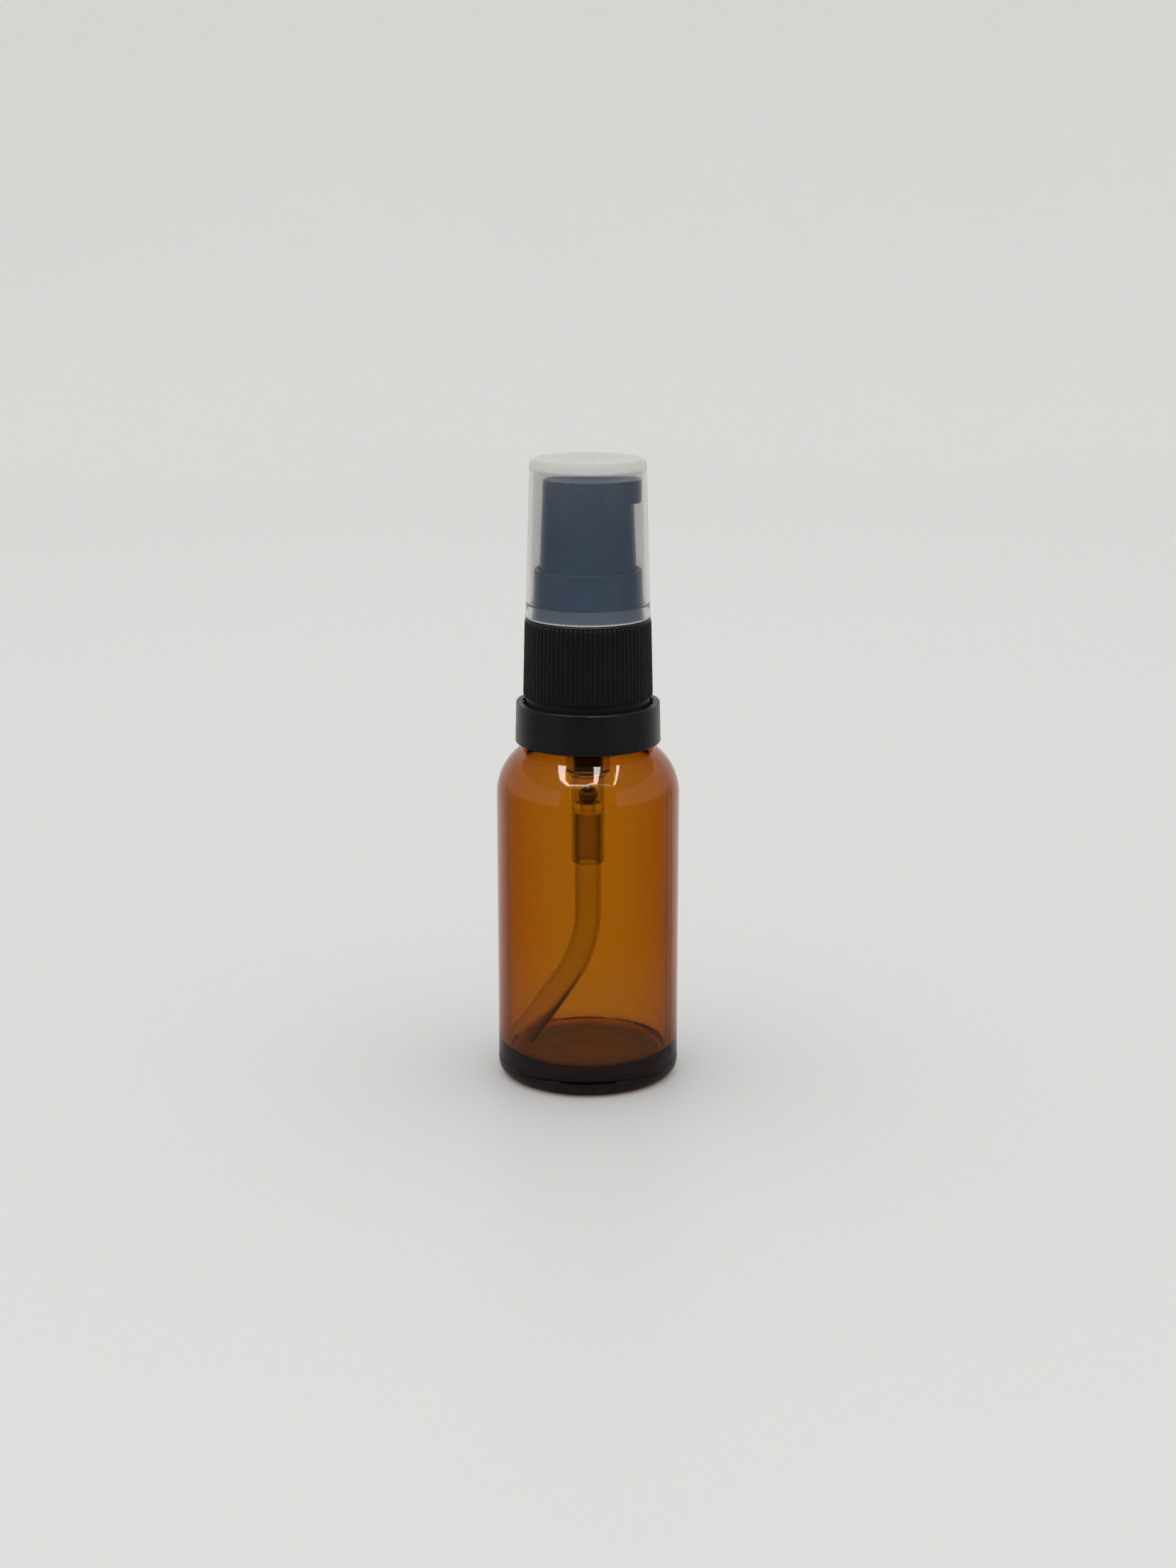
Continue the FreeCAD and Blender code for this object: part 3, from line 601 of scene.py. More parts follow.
@dataclass(frozen=True)
class ClearPlastic:
    """Unfilled polyolefin: clear with a bluish bloom, and milkier where it is thick."""

    name: str
    through: str
    bloom: str
    bloom_share: float
    roughness: float
    edge_bloom: float
    gloss: float = 0.0
    thick_places: tuple[Thick, ...] = ()
    thick_colour: str = "#f6f7f1"
    whitening: float = 1.6
    # How much of the scattered light goes on through the wall.
    onward_share: float = 0.35
    ior: float = 1.49
    scuff_size: float = 1.5
    scuff_height: float = 0.002

    def make(self) -> bpy.types.Material:
        """Build the material.

        Returns:
            Refraction with a small share of scattered light, more where handling scuffed it.
        """
        material = blank(self.name)
        tree = material.node_tree
        place = add_node(tree, "ShaderNodeTexCoord").outputs["Object"]
        scuff = add_node(
            tree,
            "ShaderNodeTexNoise",
            sockets={"Vector": place, "Scale": per_mm(self.scuff_size), "Detail": 2.0},
        )
        bump = add_node(
            tree,
            "ShaderNodeBump",
            sockets={
                "Height": scuff.outputs["Fac"],
                "Strength": 0.3,
                "Distance": self.scuff_height * MM,
            },
        )
        glass = add_node(
            tree,
            "ShaderNodeBsdfPrincipled",
            sockets={
                "Base Color": linear(self.through),
                "Roughness": self.roughness,
                "IOR": self.ior,
                "Transmission Weight": 1.0,
                "Coat Weight": self.gloss,
                "Coat Roughness": 0.03,
                "Normal": bump.outputs["Normal"],
            },
        )
        parts = add_node(tree, "ShaderNodeSeparateXYZ", sockets={"Vector": place})
        thick = add_node(tree, "ShaderNodeValue")
        for zone in self.thick_places:
            rise = add_node(
                tree,
                "ShaderNodeMapRange",
                {"interpolation_type": "SMOOTHSTEP"},
                {
                    "Value": parts.outputs["Z"],
                    "From Min": zone.start_z * MM,
                    "From Max": zone.end_z * MM,
                    "To Min": 0.0,
                    "To Max": zone.bloom,
                },
            )
            thick = add_node(
                tree,
                "ShaderNodeMath",
                {"operation": "ADD"},
                {0: thick.outputs["Value"], 1: rise.outputs["Result"]},
            )
        whiten = add_node(
            tree,
            "ShaderNodeMath",
            {"operation": "MULTIPLY", "use_clamp": True},
            {0: thick.outputs["Value"], 1: self.whitening},
        )
        bloom = add_node(
            tree,
            "ShaderNodeMix",
            {"data_type": "RGBA"},
            {
                "Factor": whiten.outputs["Value"],
                "A": linear(self.bloom),
                "B": linear(self.thick_colour),
            },
        )
        back = add_node(
            tree, "ShaderNodeBsdfDiffuse", sockets={"Color": bloom.outputs["Result"]}
        )
        onward = add_node(
            tree, "ShaderNodeBsdfTranslucent", sockets={"Color": linear(self.through)}
        )
        haze = add_node(
            tree,
            "ShaderNodeMixShader",
            sockets={0: self.onward_share, 1: back.outputs["BSDF"], 2: onward.outputs["BSDF"]},
        )
        cloud = add_node(
            tree,
            "ShaderNodeTexNoise",
            sockets={"Vector": place, "Scale": per_mm(self.scuff_size * 4.0), "Detail": 3.0},
        )
        even = add_node(
            tree,
            "ShaderNodeMapRange",
            sockets={
                "Value": cloud.outputs["Fac"],
                "To Min": self.bloom_share * 0.9,
                "To Max": self.bloom_share * 1.1,
            },
        )
        # The bloom changes towards the sides, where the wall is seen aslant.
        aslant = add_node(tree, "ShaderNodeLayerWeight", sockets={"Blend": 0.35})
        wall = add_node(
            tree,
            "ShaderNodeMath",
            {"operation": "MULTIPLY_ADD"},
            {0: aslant.outputs["Facing"], 1: self.edge_bloom, 2: even.outputs["Result"]},
        )
        milky = add_node(
            tree,
            "ShaderNodeMath",
            {"operation": "ADD"},
            {0: thick.outputs["Value"], 1: wall.outputs["Value"]},
        )
        # The bloom sits on the face that the light meets first.
        side = add_node(tree, "ShaderNodeNewGeometry")
        outer = add_node(
            tree,
            "ShaderNodeMath",
            {"operation": "SUBTRACT"},
            {0: 1.0, 1: side.outputs["Backfacing"]},
        )
        share = add_node(
            tree,
            "ShaderNodeMath",
            {"operation": "MULTIPLY", "use_clamp": True},
            {0: milky.outputs["Value"], 1: outer.outputs["Value"]},
        )
        both = add_node(
            tree,
            "ShaderNodeMixShader",
            sockets={
                0: share.outputs["Value"],
                1: glass.outputs["BSDF"],
                2: haze.outputs["Shader"],
            },
        )
        add_node(tree, "ShaderNodeOutputMaterial", sockets={"Surface": both.outputs["Shader"]})
        return material


@dataclass(frozen=True)
class DrawnSteel:
    """Bright stainless steel: the drawn spring wire and the ground inlet ball."""

    name: str
    colour: str
    roughness: float
    line_size: float

    def make(self) -> bpy.types.Material:
        """Build the material.

        Returns:
            A metal whose polish varies in fine patches.
        """
        material = blank(self.name)
        tree = material.node_tree
        place = add_node(tree, "ShaderNodeTexCoord").outputs["Object"]
        lines = add_node(
            tree,
            "ShaderNodeTexNoise",
            sockets={"Vector": place, "Scale": per_mm(self.line_size), "Detail": 3.0},
        )
        polish = add_node(
            tree,
            "ShaderNodeMapRange",
            sockets={
                "Value": lines.outputs["Fac"],
                "To Min": self.roughness * 0.6,
                "To Max": self.roughness * 1.4,
            },
        )
        shader = add_node(
            tree,
            "ShaderNodeBsdfPrincipled",
            sockets={
                "Base Color": linear(self.colour),
                "Metallic": 1.0,
                "Roughness": polish.outputs["Result"],
            },
        )
        add_node(
            tree, "ShaderNodeOutputMaterial", sockets={"Surface": shader.outputs["BSDF"]}
        )
        return material


@dataclass(frozen=True)
class FoamLiner:
    """White expanded polyethylene foam, with cells about a quarter of a millimetre across."""

    name: str = "foam_liner"
    colour: str = "#e9e8e2"
    shade: str = "#cfcdc6"
    cell: float = 0.25

    def make(self) -> bpy.types.Material:
        """Build the material.

        Returns:
            A matt white with cells in colour and height.
        """
        material = blank(self.name)
        tree = material.node_tree
        place = add_node(tree, "ShaderNodeTexCoord").outputs["Object"]
        cells = add_node(
            tree, "ShaderNodeTexVoronoi", sockets={"Vector": place, "Scale": per_mm(self.cell)}
        )
        colour = add_node(
            tree,
            "ShaderNodeMix",
            {"data_type": "RGBA"},
            {
                "Factor": cells.outputs["Distance"],
                "A": linear(self.colour),
                "B": linear(self.shade),
            },
        )
        bump = add_node(
            tree,
            "ShaderNodeBump",
            sockets={
                "Height": cells.outputs["Distance"],
                "Strength": 0.5,
                "Distance": self.cell * MM / 4,
            },
        )
        shader = add_node(
            tree,
            "ShaderNodeBsdfPrincipled",
            sockets={
                "Base Color": colour.outputs["Result"],
                "Roughness": 0.85,
                "Normal": bump.outputs["Normal"],
            },
        )
        add_node(
            tree, "ShaderNodeOutputMaterial", sockets={"Surface": shader.outputs["BSDF"]}
        )
        return material


AMBER_GLASS = AmberGlass()
# Collar: polypropylene from a spark-eroded mould, matt and almost black.
COLLAR_PLASTIC = MouldedPlastic(
    "matt_black_polypropylene", "#121317", "#16171b", 0.42, 0.04, 0.12, 0.004
)
# Torn ring: the same plastic with a smoother face, handled more.
RING_PLASTIC = MouldedPlastic(
    "satin_black_polypropylene", "#141518", "#191a1d", 0.34, 0.05, 0.25, 0.003
)
# Button, shroud and cage: polished mould, a soft gloss.
BUTTON_PLASTIC = MouldedPlastic(
    "polished_black_polypropylene", "#0a0d12", "#0f1318", 0.22, 0.04, 0.4, 0.002
)
# Shroud: the same polish, painted greyer and bluer to stand in for the hazy light that the overcap
# lays over it; the part itself is probably as black as the button.
SHROUD_PLASTIC_PAINTED_HAZE = MouldedPlastic(
    "black_polypropylene_with_painted_haze", "#2b3138", "#30363d", 0.26, 0.04, 0.4, 0.002
)
# Overcap: clarified polypropylene, bluish over dark things, milky in its thick top.
CAP_PLASTIC = ClearPlastic(
    "clarified_polypropylene",
    "#fcfbf6",
    "#667ea3",
    0.35,
    0.035,
    edge_bloom=-0.3,
    gloss=0.4,
    thick_places=(Thick(97.0, 97.9, 0.7), Thick(76.85, 76.6, 0.12), Thick(74.85, 74.65, 0.5)),
)
# Barrel, tube and rods: natural plastic, clear but milky.
NATURAL_PLASTIC = ClearPlastic(
    "natural_polyethylene", "#fbf8ee", "#d9dcd8", 0.012, 0.2, edge_bloom=0.04
)
PISTON_PLASTIC = MouldedPlastic(
    "white_polyethylene", "#e8e7e1", "#dcdad3", 0.42, 0.04, 0.3, 0.003, 1.5, 0.3
)
BALL_STEEL = DrawnSteel("ground_stainless_steel", "#c9c8c4", 0.12, 0.2)
SPRING_STEEL = DrawnSteel("drawn_stainless_steel", "#b5b3ae", 0.22, 0.12)
FOAM = FoamLiner()

NODE_FINISHES = {
    "tamper_ring": RING_PLASTIC,
    "neck_gasket": FOAM,
    "pump_housing": NATURAL_PLASTIC,
    "dip_tube": NATURAL_PLASTIC,
    "inlet_ball": BALL_STEEL,
    "valve_cage": BUTTON_PLASTIC,
    "return_spring": SPRING_STEEL,
    "piston_rod": NATURAL_PLASTIC,
    "piston": PISTON_PLASTIC,
    "stem": NATURAL_PLASTIC,
    "stem_guide": BUTTON_PLASTIC,
    "guide_shroud": SHROUD_PLASTIC_PAINTED_HAZE,
    "actuator": BUTTON_PLASTIC,
    "nozzle_insert": BUTTON_PLASTIC,
}


class Paintbox:
    """Builds each finish once and dresses pieces in it."""

    def __init__(self) -> None:
        """Start with no materials."""
        self.made: dict[str, bpy.types.Material] = {}

    def dress(self, piece: bpy.types.Object, finish: object) -> None:
        """Give a piece one finish all over.

        Args:
            piece: The piece or CAD node.
            finish: One of the finishes above.
        """
        if finish.name not in self.made:
            self.made[finish.name] = finish.make()
        if not piece.material_slots:
            piece.data.materials.append(None)
        for slot in piece.material_slots:
            slot.material = self.made[finish.name]


def settle(piece: bpy.types.Object, body: Body, node: str) -> None:
    """Put a finished piece on its body, in place of its CAD node, and report it.

    Args:
        piece: The finished piece.
        body: The body that it moves with.
        node: The CAD node that it stands for.
    """
    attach(piece, body.value)
    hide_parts(node)
    LOG.info("%s: %d faces on body %s", piece.name, len(piece.data.polygons), body.value)


# ---------------------------------------------------------------------------
# Sub-assemblies
# ---------------------------------------------------------------------------


@dataclass
class GlassBottle:
    """Blown amber bottle: thick base, round shoulder, bead and screw neck."""

    body_radius: float = 14.46
    wall: float = 1.9
    heel: float = 2.0
    hollow_radius: float = 10.5
    hollow_depth: float = 0.7
    floor_z: float = 4.15
    floor_corner: float = 1.5
    shoulder_z: float = 46.2
    shoulder: float = 9.0
    neck_radius: float = 8.6
    throat_radius: float = 5.5
    bead_radius: float = 9.5
    finish_radius: float = 8.05
    lip_z: float = 71.0
    parting_z: float = 2.35
    seam_heading: float = -25.0
    seam_width: float = 0.09
    seam_height: float = 0.03
    columns: int = 192

    def section(self) -> Section:
        """The glass's half section, from the middle of the base round to the inner floor.

        Returns:
            The section, open at the axis.
        """
        axis = self.body_radius - self.shoulder
        section = Section()
        hollow = (self.hollow_radius**2 + self.hollow_depth**2) / (2 * self.hollow_depth)
        rim_angle = math.degrees(math.acos(self.hollow_radius / hollow))
        section.bend((0.0, self.hollow_depth - hollow), hollow, 90.0, rim_angle, 12)
        heel_centre = self.body_radius - self.heel
        section.run(heel_centre, 0.0, 0.5)
        section.bend((heel_centre, self.heel), self.heel, -86.0, 0.0, 16)
        for z, proud in ((-0.09, 0.0), (-0.04, 0.025), (0.04, 0.025), (0.09, 0.0)):
            section.to(self.body_radius + proud, self.parting_z + z)
        section.run(self.body_radius, self.shoulder_z, 1.4)
        blend = 1.0
        outside = self.neck_radius + blend - axis
        reach = self.shoulder + blend
        rise = math.sqrt(reach**2 - outside**2)
        lean = math.degrees(math.atan2(rise, outside))
        section.bend((axis, self.shoulder_z), self.shoulder, 1.5, lean, 30)
        top = self.shoulder_z + rise
        section.bend((self.neck_radius + blend, top), blend, 180.0 + lean - 6.0, 180.0, 8)
        section.corners(
            [
                Corner(self.neck_radius, 56.0),
                Corner(self.neck_radius, 56.9, 0.2),
                Corner(self.bead_radius, 57.3, 0.2),
                Corner(self.bead_radius, 57.9, 0.25),
                Corner(self.finish_radius, 58.6, 0.3),
                Corner(self.finish_radius, self.lip_z, 0.4),
                Corner(self.throat_radius, self.lip_z, 0.4),
                Corner(self.throat_radius, 66.0),
            ],
            5,
        )
        self.inside(section, axis)
        return section

    def inside(self, section: Section, axis: float) -> None:
        """Carry a section on down the throat, the inner shoulder and the wall to the floor.

        Args:
            section: The section so far, ending in the throat.
            axis: Radius at which the shoulder's centre stands.
        """
        blend = 1.2
        inner = self.shoulder - self.wall
        inside = self.throat_radius + blend - axis
        rise = math.sqrt((inner + blend) ** 2 - inside**2)
        lean = math.degrees(math.atan2(rise, inside))
        top = self.shoulder_z + rise
        section.run(self.throat_radius, top + 0.3, 2.0)
        section.bend((self.throat_radius + blend, top), blend, 180.0, 180.0 + lean, 10)
        section.bend((axis, self.shoulder_z), inner, lean - 3.0, 0.0, 26)
        bore = self.body_radius - self.wall
        section.to(bore, self.shoulder_z - 0.25)
        section.run(bore, self.floor_z + self.floor_corner + 0.2, 1.4)
        corner = (bore - self.floor_corner, self.floor_z + self.floor_corner)
        section.bend(corner, self.floor_corner, 0.0, -90.0, 12)
        section.run(0.0, self.floor_z, 1.6)

    def build(self, paint: Paintbox) -> None:
        """Model the bottle, its mould seams and its thread, and settle it.

        Args:
            paint: The finishes.
        """
        bench = Bench("glass_bottle")
        bench.section(self.section(), self.seam_heading, False)
        bench.turn(self.columns)
        self.raise_seams(bench)
        tooth = Tooth(self.finish_radius - 0.2, 8.85, 64.0)
        bench.combine(tooth.cut("neck_thread"), "UNION")
        piece = bench.finish()
        paint.dress(piece, AMBER_GLASS)
        settle(piece, Body.BOTTLE, "bottle")

    def raise_seams(self, bench: Bench) -> None:
        """Bevel the two upright mould lines and lift their middles.

        Args:
            bench: The bench that holds the bottle.
        """
        low, high = self.heel, self.shoulder_z + 7.0
        for heading in (self.seam_heading, self.seam_heading + 180.0):

            def on_seam(at: Vector, h: float = heading, reach: float = 0.05) -> bool:
                """Whether a place is on the outer wall at this seam."""
                z = at.z / MM
                outside = distance(at) > self.wall_inside(z)
                return outside and low < z < high and apart(heading_of(at), h) < reach

            bench.pick(on_seam)
            bpy.ops.mesh.bevel(
                offset_type="OFFSET", offset=self.seam_width * MM, segments=4, affect="EDGES"
            )
            bench.swell(on_seam, 1.0 + self.seam_height / self.body_radius)

    def wall_inside(self, z: float) -> float:
        """A radius inside the glass at a height, between its two faces.

        Args:
            z: Height in millimetres.

        Returns:
            The radius in millimetres.
        """
        if z <= self.shoulder_z:
            return self.body_radius - self.wall / 2
        middle = self.shoulder - self.wall / 2
        up = min(z - self.shoulder_z, middle)
        return self.body_radius - self.shoulder + math.sqrt(middle**2 - up**2)


@dataclass
class Overcap:
    """Clear push-on cap with a thick mouth, two vent slots in it and a gate recess on top."""

    foot_z: float = 74.5
    top_z: float = 98.99
    rim_radius: float = 9.8
    grip_radius: float = 8.72
    roof: float = 0.9
    vent_heading: float = 10.4
    columns: int = 160

    def section(self) -> Section:
        """The cap's half section, from the gate recess round to the roof's underside.

        Returns:
            The section, open at the axis.
        """
        recess_z = self.top_z - 0.15
        roof_z = self.top_z - self.roof
        section = Section()
        section.corners(
            [
                Corner(0.0, roof_z),
                Corner(6.0, roof_z),
                Corner(8.3, roof_z, 0.5),
                Corner(8.32, 96.9),
            ]
        )
        section.run(8.96, 77.3, 2.4)
        section.corners(
            [
                Corner(8.97, 77.1),
                Corner(8.98, 76.75, 0.12),
                Corner(self.grip_radius, 76.45, 0.12),
                Corner(self.grip_radius, self.foot_z, 0.12),
                Corner(self.rim_radius, self.foot_z, 0.15),
                Corner(9.7, 75.6, 0.4),
                Corner(9.69, 75.9),
            ]
        )
        section.run(9.05, 97.6, 2.4)
        section.corners(
            [
                Corner(9.05, 97.7),
                Corner(9.04, self.top_z, 1.0),
                Corner(6.0, self.top_z),
                Corner(1.3, self.top_z, 0.08),
                Corner(1.1, recess_z, 0.08),
                Corner(0.0, recess_z),
            ],
            7,
        )
        return section

    def build(self, paint: Paintbox) -> None:
        """Model the cap, cut its vents and settle it.

        Args:
            paint: The finishes.
        """
        bench = Bench("clear_overcap")
        bench.section(self.section(), 0.0, False)
        bench.turn(self.columns)
        for side in (0.0, 180.0):
            bench.combine(self.vent(self.vent_heading - 90.0 + side), "DIFFERENCE")
        piece = bench.finish()
        paint.dress(piece, CAP_PLASTIC)
        settle(piece, Body.OVERCAP, "overcap")

    def vent(self, heading: float) -> Bench:
        """A block as wide as a vent, narrower at its top, standing in the mouth's wall.

        Args:
            heading: Direction of the vent in degrees, from +X towards +Y.

        Returns:
            The bench that holds the block.
        """
        bench = Bench("vent_cutter")
        low, high = self.foot_z - 0.6, 76.72
        bench.block(Vector((8.2, 0.0, (low + high) / 2)), Vector((1.5, 3.06, high - low)))
        bench.pick(lambda at: at.z / MM > high - 0.01)
        bpy.ops.transform.resize(value=(1.0, 0.84, 1.0), center_override=(0, 0, 0))
        bpy.ops.mesh.select_all(action="SELECT")
        bpy.ops.transform.rotate(
            value=-math.radians(heading), orient_axis="Z", center_override=(0, 0, 0)
        )
        bench.clear()
        return bench


@dataclass
class ScrewCollar:
    """Black screw collar with eighty rounded grip ribs."""

    top_z: float = 74.4
    foot_z: float = 58.8
    roof: float = 1.2
    hole_radius: float = 5.3
    bore_radius: float = 9.15
    skirt_radius: float = 9.75
    grip_z: float = 62.0
    grip_top_z: float = 73.97
    grip_radius: float = 10.17
    top_radius: float = 9.88
    rib_height: float = 0.28
    ribs: int = 80

    def tip_radius(self, z: float) -> float:
        """Radius of the rib tips at a height, both in millimetres."""
        share = (z - self.grip_z) / (self.grip_top_z - self.grip_z)
        return self.grip_radius + (self.top_radius - self.grip_radius) * share

    def rib_rows(self) -> list[tuple[float, float]]:
        """Heights of the spots along a rib, with the share of its height that it has there."""
        low, high = self.grip_z, self.grip_top_z
        ends = [(0.04, 0.45), (0.14, 0.8), (0.3, 0.96), (0.5, 1.0)]
        rows = [(low + lift, share) for lift, share in ends]
        rows += [(low + 2.0 + 2.0 * k, 1.0) for k in range(5)]
        rows += [(high - lift, share) for lift, share in reversed(ends)]
        return rows

    def section(self) -> Section:
        """The collar's half section in a groove between two ribs.

        Returns:
            The section, a loop.
        """
        section = Section()
        section.corners(
            [
                Corner(self.bore_radius, 66.0),
                Corner(self.bore_radius, self.foot_z, 0.1),
                Corner(self.skirt_radius, self.foot_z, 0.2),
                Corner(self.skirt_radius, 61.6),
            ]
        )
        section.to(self.skirt_radius, self.grip_z - 0.02)
        for z, _ in self.rib_rows():
            section.to(self.tip_radius(z) - self.rib_height, z)
        rim = self.tip_radius(self.grip_top_z) - 0.1
        section.corners(
            [
                Corner(rim - 0.18, self.grip_top_z),
                Corner(rim, self.grip_top_z + 0.06, 0.04),
                Corner(rim, self.top_z, 0.25),
                Corner(self.hole_radius, self.top_z, 0.15),
                Corner(self.hole_radius, self.top_z - self.roof, 0.15),
                Corner(self.bore_radius, self.top_z - self.roof, 0.3),
                Corner(self.bore_radius, 70.0),
            ],
            3,
        )
        return section

    def build(self, paint: Paintbox) -> None:
        """Model one rib's share of the collar, copy it round, cut the thread and settle it.

        Args:
            paint: The finishes.
        """
        bench = Bench("ribbed_collar")
        bench.section(self.section(), 0.0, True)
        shares = (0.0, 0.06, 0.55, 0.92, 1.0, 0.92, 0.55, 0.06, 0.0)
        share_angle = 360.0 / self.ribs
        bench.turn(len(shares) - 1, math.radians(share_angle))
        for column, across in enumerate(shares):
            if across == 0.0:
                continue
            heading = share_angle * column / (len(shares) - 1)
            for z, along in self.rib_rows():
                root = self.tip_radius(z) - self.rib_height
                bench.swell(
                    lambda at, h=heading, z=z: apart(abs(heading_of(at)), h) < 0.05
                    and abs(at.z / MM - z) < 0.01
                    and distance(at) > self.bore_radius + 0.2,
                    (root + self.rib_height * across * along) / root,
                )
        bpy.ops.mesh.select_all(action="SELECT")
        bpy.ops.mesh.spin(
            steps=self.ribs - 1,
            angle=FULL_TURN * (self.ribs - 1) / self.ribs,
            dupli=True,
            center=(0, 0, 0),
            axis=(0, 0, 1),
        )
        bench.merge()
        tooth = Tooth(self.bore_radius + 0.2, 8.35, 62.5)
        bench.combine(tooth.cut("collar_thread"), "UNION")
        piece = bench.finish(50.0)
        paint.dress(piece, COLLAR_PLASTIC)
        settle(piece, Body.COLLAR, "screw_collar")


# ---------------------------------------------------------------------------
# Studio
# ---------------------------------------------------------------------------


@dataclass(frozen=True)
class Strip:
    """One lit strip of the ceiling: its two ends and width as shares of its height."""

    name: str
    start: Spot
    end: Spot
    width: float


@dataclass
class Studio:
    """Pale sweep, soft ceiling strips, even sky and the camera."""

    floor_radius: float = 700.0
    sweep_radius: float = 350.0
    wall_z: float = 620.0
    ceiling_z: float = 550.0
    strip_glow: float = 11.0
    sky: float = 1.03
    sky_in_gloss: float = 0.15
    shade_core: float = 92.0
    shade_edge: float = 155.0
    shade_start: float = 35.0
    shade_full: float = 100.0
    shade_by_glass: float = 0.7
    shade_top: float = 60.0
    shade_on_wall: float = 0.45
    shade_colour: str = "#141414"
    bounces: float = 12.0
    lens: float = 56.8
    sensor_width: float = 36.0
    camera_back: float = 379.6
    camera_z: float = 144.1
    # From straight down, in degrees.
    camera_tilt: float = 75.72
    shade_depth: float = 0.97
    strips: tuple[Strip, ...] = (
        Strip("left", (-0.32, 0.22), (-0.6, -0.6), 0.15),
        Strip("left_corner", (-0.62, -0.55), (-0.58, -0.98), 0.13),
        Strip("front", (-0.6, -0.98), (0.02, -1.07), 0.1),
        Strip("front_corner", (-0.04, -1.04), (0.2, -0.84), 0.1),
        Strip("middle", (0.13, 0.08), (0.2, -0.9), 0.11),
        Strip("front_thin", (0.1, -0.93), (0.66, -0.97), 0.03),
        Strip("right", (0.43, 0.14), (0.78, -0.9), 0.06),
    )

    def build(self) -> None:
        """Make the sweep, the lights, the sky and the camera."""
        self.make_sweep()
        self.make_flag()
        for strip in self.strips:
            self.hang(strip)
        self.make_sky()
        self.set_camera()

    def make_sweep(self) -> None:
        """Turn the floor and its rising edge, all round the bottle."""
        bench = Bench("studio_sweep")
        section = Section().to(0.0, 0.0).run(self.floor_radius, 0.0, 60.0)
        corner = (self.floor_radius, self.sweep_radius)
        section.bend(corner, self.sweep_radius, -88.0, 0.0, 24)
        section.to(self.floor_radius + self.sweep_radius, self.wall_z)
        bench.section(section, 0.0, False)
        bench.turn(96)
        bpy.ops.mesh.flip_normals()
        sweep = bench.finish(60.0)
        material = blank("matt_white_board")
        tree = material.node_tree
        place = add_node(tree, "ShaderNodeTexCoord").outputs["Object"]
        cloud = add_node(
            tree,
            "ShaderNodeTexNoise",
            sockets={"Vector": place, "Scale": per_mm(160.0), "Detail": 2.0},
        )
        board = add_node(
            tree,
            "ShaderNodeMix",
            {"data_type": "RGBA"},
            {"Factor": cloud.outputs["Fac"], "A": linear("#eeeeec"), "B": linear("#ebebe9")},
        )
        colour = add_node(
            tree,
            "ShaderNodeMix",
            {"data_type": "RGBA"},
            {
                "Factor": self.shade_in_front(tree, place),
                "A": board.outputs["Result"],
                "B": linear(self.shade_colour),
            },
        )
        shader = add_node(
            tree,
            "ShaderNodeBsdfPrincipled",
            sockets={"Base Color": colour.outputs["Result"], "Roughness": 0.48, "IOR": 1.45},
        )
        add_node(
            tree, "ShaderNodeOutputMaterial", sockets={"Surface": shader.outputs["BSDF"]}
        )
        sweep.data.materials.append(material)

    def shade_in_front(
        self, tree: bpy.types.NodeTree, place: bpy.types.NodeSocket
    ) -> bpy.types.NodeSocket:
        """Shade the floor in a fan towards the camera, but only where reflections see it.

        Args:
            tree: The floor's node tree.
            place: The floor's own coordinates.

        Returns:
            The share of shade, fading to the fan's sides.
        """
        parts = add_node(tree, "ShaderNodeSeparateXYZ", sockets={"Vector": place})
        toward = add_node(
            tree, "ShaderNodeMath", {"operation": "MULTIPLY"}, {0: parts.outputs["Y"], 1: -1.0}
        )
        aside = add_node(
            tree, "ShaderNodeMath", {"operation": "ABSOLUTE"}, {0: parts.outputs["X"]}
        )
        angle = add_node(
            tree,
            "ShaderNodeMath",
            {"operation": "ARCTAN2"},
            {0: aside.outputs["Value"], 1: toward.outputs["Value"]},
        )
        fade = add_node(
            tree,
            "ShaderNodeMapRange",
            {"interpolation_type": "SMOOTHSTEP"},
            {
                "Value": angle.outputs["Value"],
                "From Min": math.radians(self.shade_core),
                "From Max": math.radians(self.shade_edge),
                "To Min": self.shade_depth,
                "To Max": 0.0,
            },
        )
        away = add_node(
            tree, "ShaderNodeVectorMath", {"operation": "LENGTH"}, {0: place}
        )
        deepen = add_node(
            tree,
            "ShaderNodeMapRange",
            {"interpolation_type": "SMOOTHSTEP"},
            {
                "Value": away.outputs["Value"],
                "From Min": self.shade_start * MM,
                "From Max": self.shade_full * MM,
                "To Min": self.shade_by_glass,
                "To Max": 1.0,
            },
        )
        fan = add_node(
            tree,
            "ShaderNodeMath",
            {"operation": "MULTIPLY"},
            {0: fade.outputs["Result"], 1: deepen.outputs["Result"]},
        )
        wall = add_node(
            tree,
            "ShaderNodeMapRange",
            {"interpolation_type": "SMOOTHSTEP"},
            {
                "Value": parts.outputs["Z"],
                "From Min": 0.0,
                "From Max": self.shade_top * MM,
                "To Min": 1.0,
                "To Max": self.shade_on_wall,
            },
        )
        lower = add_node(
            tree,
            "ShaderNodeMath",
            {"operation": "MULTIPLY"},
            {0: fan.outputs["Value"], 1: wall.outputs["Result"]},
        )
        path = add_node(tree, "ShaderNodeLightPath")
        mirrored = add_node(
            tree,
            "ShaderNodeMath",
            {"operation": "MULTIPLY_ADD", "use_clamp": True},
            {
                0: path.outputs["Is Diffuse Ray"],
                1: -self.bounces,
                2: path.outputs["Glossy Depth"],
            },
        )
        share = add_node(
            tree,
            "ShaderNodeMath",
            {"operation": "MULTIPLY"},
            {0: lower.outputs["Value"], 1: mirrored.outputs["Value"]},
        )
        return share.outputs["Value"]

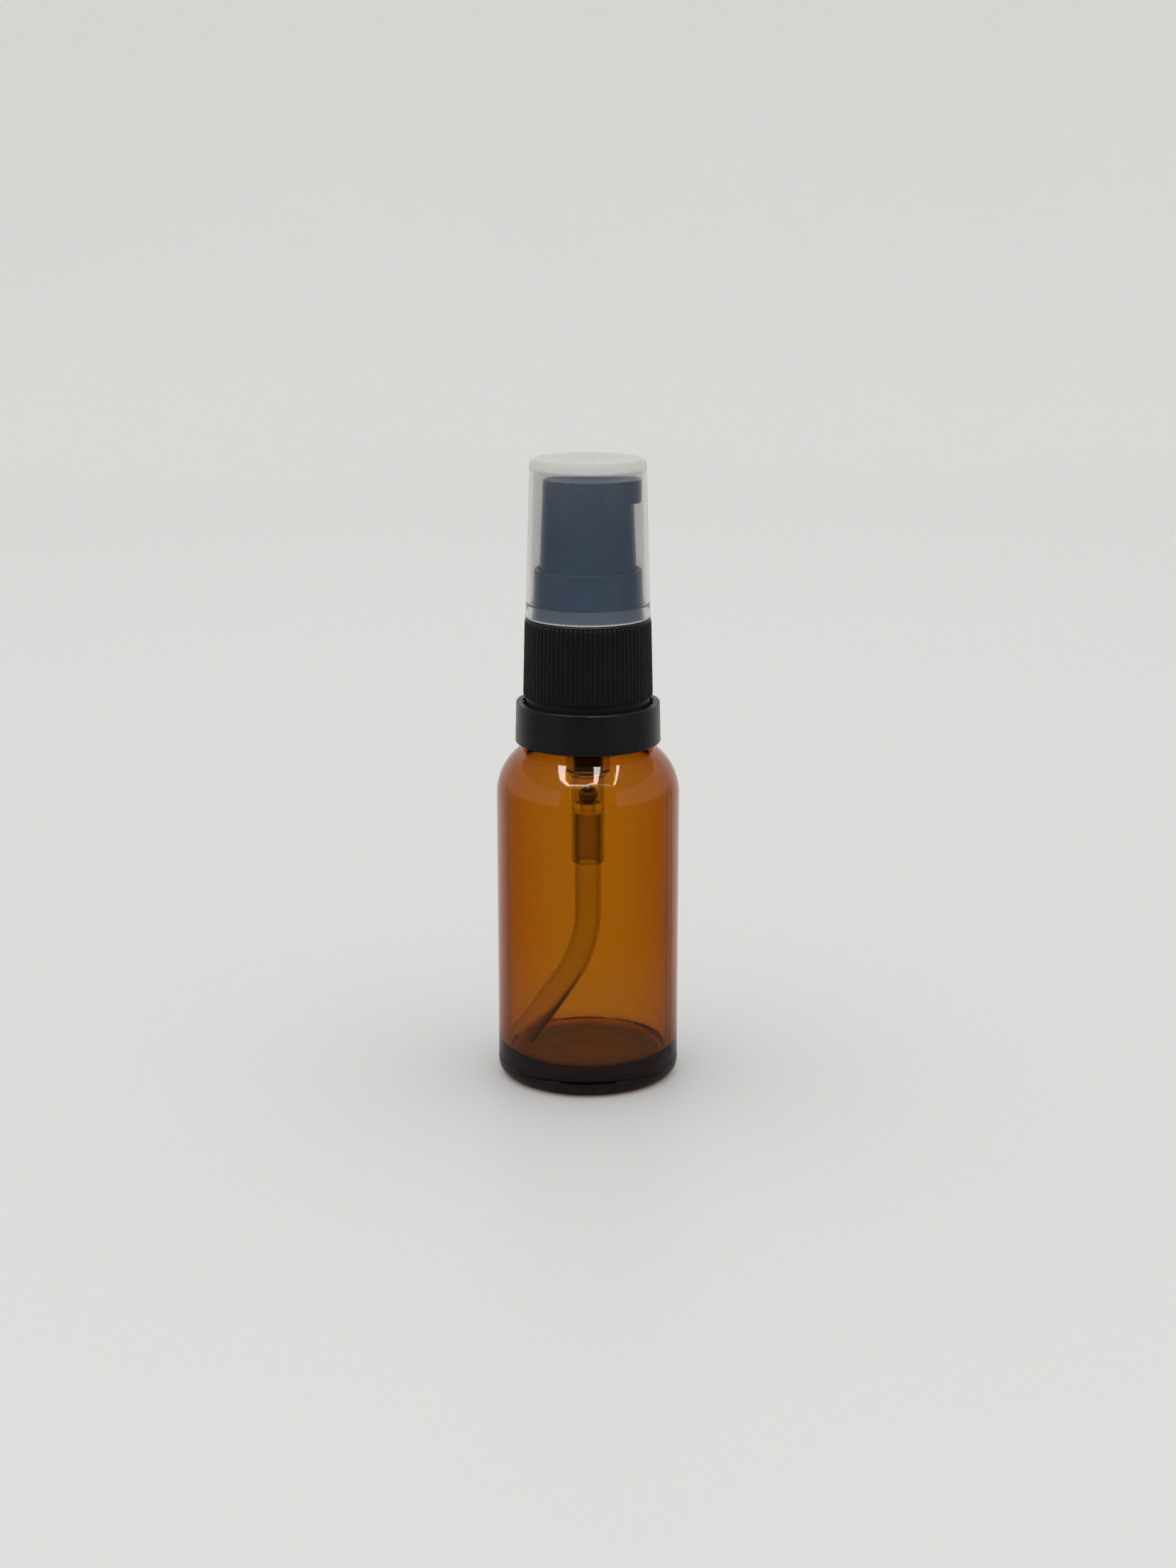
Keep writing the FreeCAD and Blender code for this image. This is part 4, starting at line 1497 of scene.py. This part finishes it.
    def make_flag(self) -> None:
        """A dark card behind the camera that only reflections see."""
        bench = Bench("dark_flag")
        bench.block(Vector((0.0, -560.0, 230.0)), Vector((800.0, 4.0, 458.0)))
        bpy.ops.mesh.bevel(offset=MM, segments=2, affect="EDGES")
        flag = bench.finish()
        material = blank("black_velvet")
        tree = material.node_tree
        shader = add_node(
            tree,
            "ShaderNodeBsdfPrincipled",
            sockets={"Base Color": linear("#1c1c1e"), "Roughness": 0.9},
        )
        add_node(
            tree, "ShaderNodeOutputMaterial", sockets={"Surface": shader.outputs["BSDF"]}
        )
        flag.data.materials.append(material)
        flag.visible_camera = flag.visible_diffuse = flag.visible_transmission = False
        flag.visible_shadow = flag.visible_volume_scatter = False

    def hang(self, strip: Strip) -> None:
        """Hang one ceiling strip.

        Args:
            strip: Its ends and width.
        """
        height = (self.ceiling_z - 50.0) * MM
        start, end = Vector((*strip.start, 0.0)) * height, Vector((*strip.end, 0.0)) * height
        light = bpy.data.lights.new(f"strip_{strip.name}", "AREA")
        light.shape = "RECTANGLE"
        light.size = (end - start).length
        light.size_y = strip.width * height
        light.energy = self.strip_glow * math.pi * light.size * light.size_y
        lamp = bpy.data.objects.new(light.name, light)
        lamp.location = (start + end) / 2 + Vector((0.0, 0.0, self.ceiling_z * MM))
        lamp.rotation_euler.z = math.atan2((end - start).y, (end - start).x)
        lamp.visible_camera = lamp.visible_diffuse = False
        bpy.context.scene.collection.objects.link(lamp)

    def make_sky(self) -> None:
        """Light the rest evenly."""
        world = bpy.data.worlds.new("soft_tent")
        world.use_nodes = True
        tree = world.node_tree
        tree.nodes.clear()
        path = add_node(tree, "ShaderNodeLightPath")
        strength = add_node(
            tree,
            "ShaderNodeMapRange",
            sockets={
                "Value": path.outputs["Is Glossy Ray"],
                "To Min": self.sky,
                "To Max": self.sky_in_gloss,
            },
        )
        glow = add_node(
            tree,
            "ShaderNodeBackground",
            sockets={"Color": linear("#fcfbfb"), "Strength": strength.outputs["Result"]},
        )
        add_node(tree, "ShaderNodeOutputWorld", sockets={"Surface": glow.outputs["Background"]})
        bpy.context.scene.world = world

    def set_camera(self) -> None:
        """Place the camera a little above the cap, looking down at the bottle."""
        data = bpy.data.cameras.new("camera")
        data.lens = self.lens
        data.sensor_width = self.sensor_width
        data.clip_start = self.sensor_width * MM
        camera = bpy.data.objects.new("camera", data)
        camera.location = (0.0, -self.camera_back * MM, self.camera_z * MM)
        camera.rotation_euler.x = math.radians(self.camera_tilt)
        bpy.context.scene.collection.objects.link(camera)
        bpy.context.scene.camera = camera
        bpy.context.scene.view_settings.view_transform = "Standard"


def main() -> None:
    """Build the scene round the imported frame."""
    logging.basicConfig(level=logging.INFO, format="%(name)s: %(message)s")
    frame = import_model()
    Bench.clear()
    paint = Paintbox()
    for sub_assembly in (GlassBottle(), ScrewCollar(), Overcap()):
        sub_assembly.build(paint)
    for node, finish in NODE_FINISHES.items():
        paint.dress(frame["nodes"][node], finish)
        LOG.info("%s: finished in %s", node, finish.name)
    Studio().build()


if __name__ == "__main__":
    main()
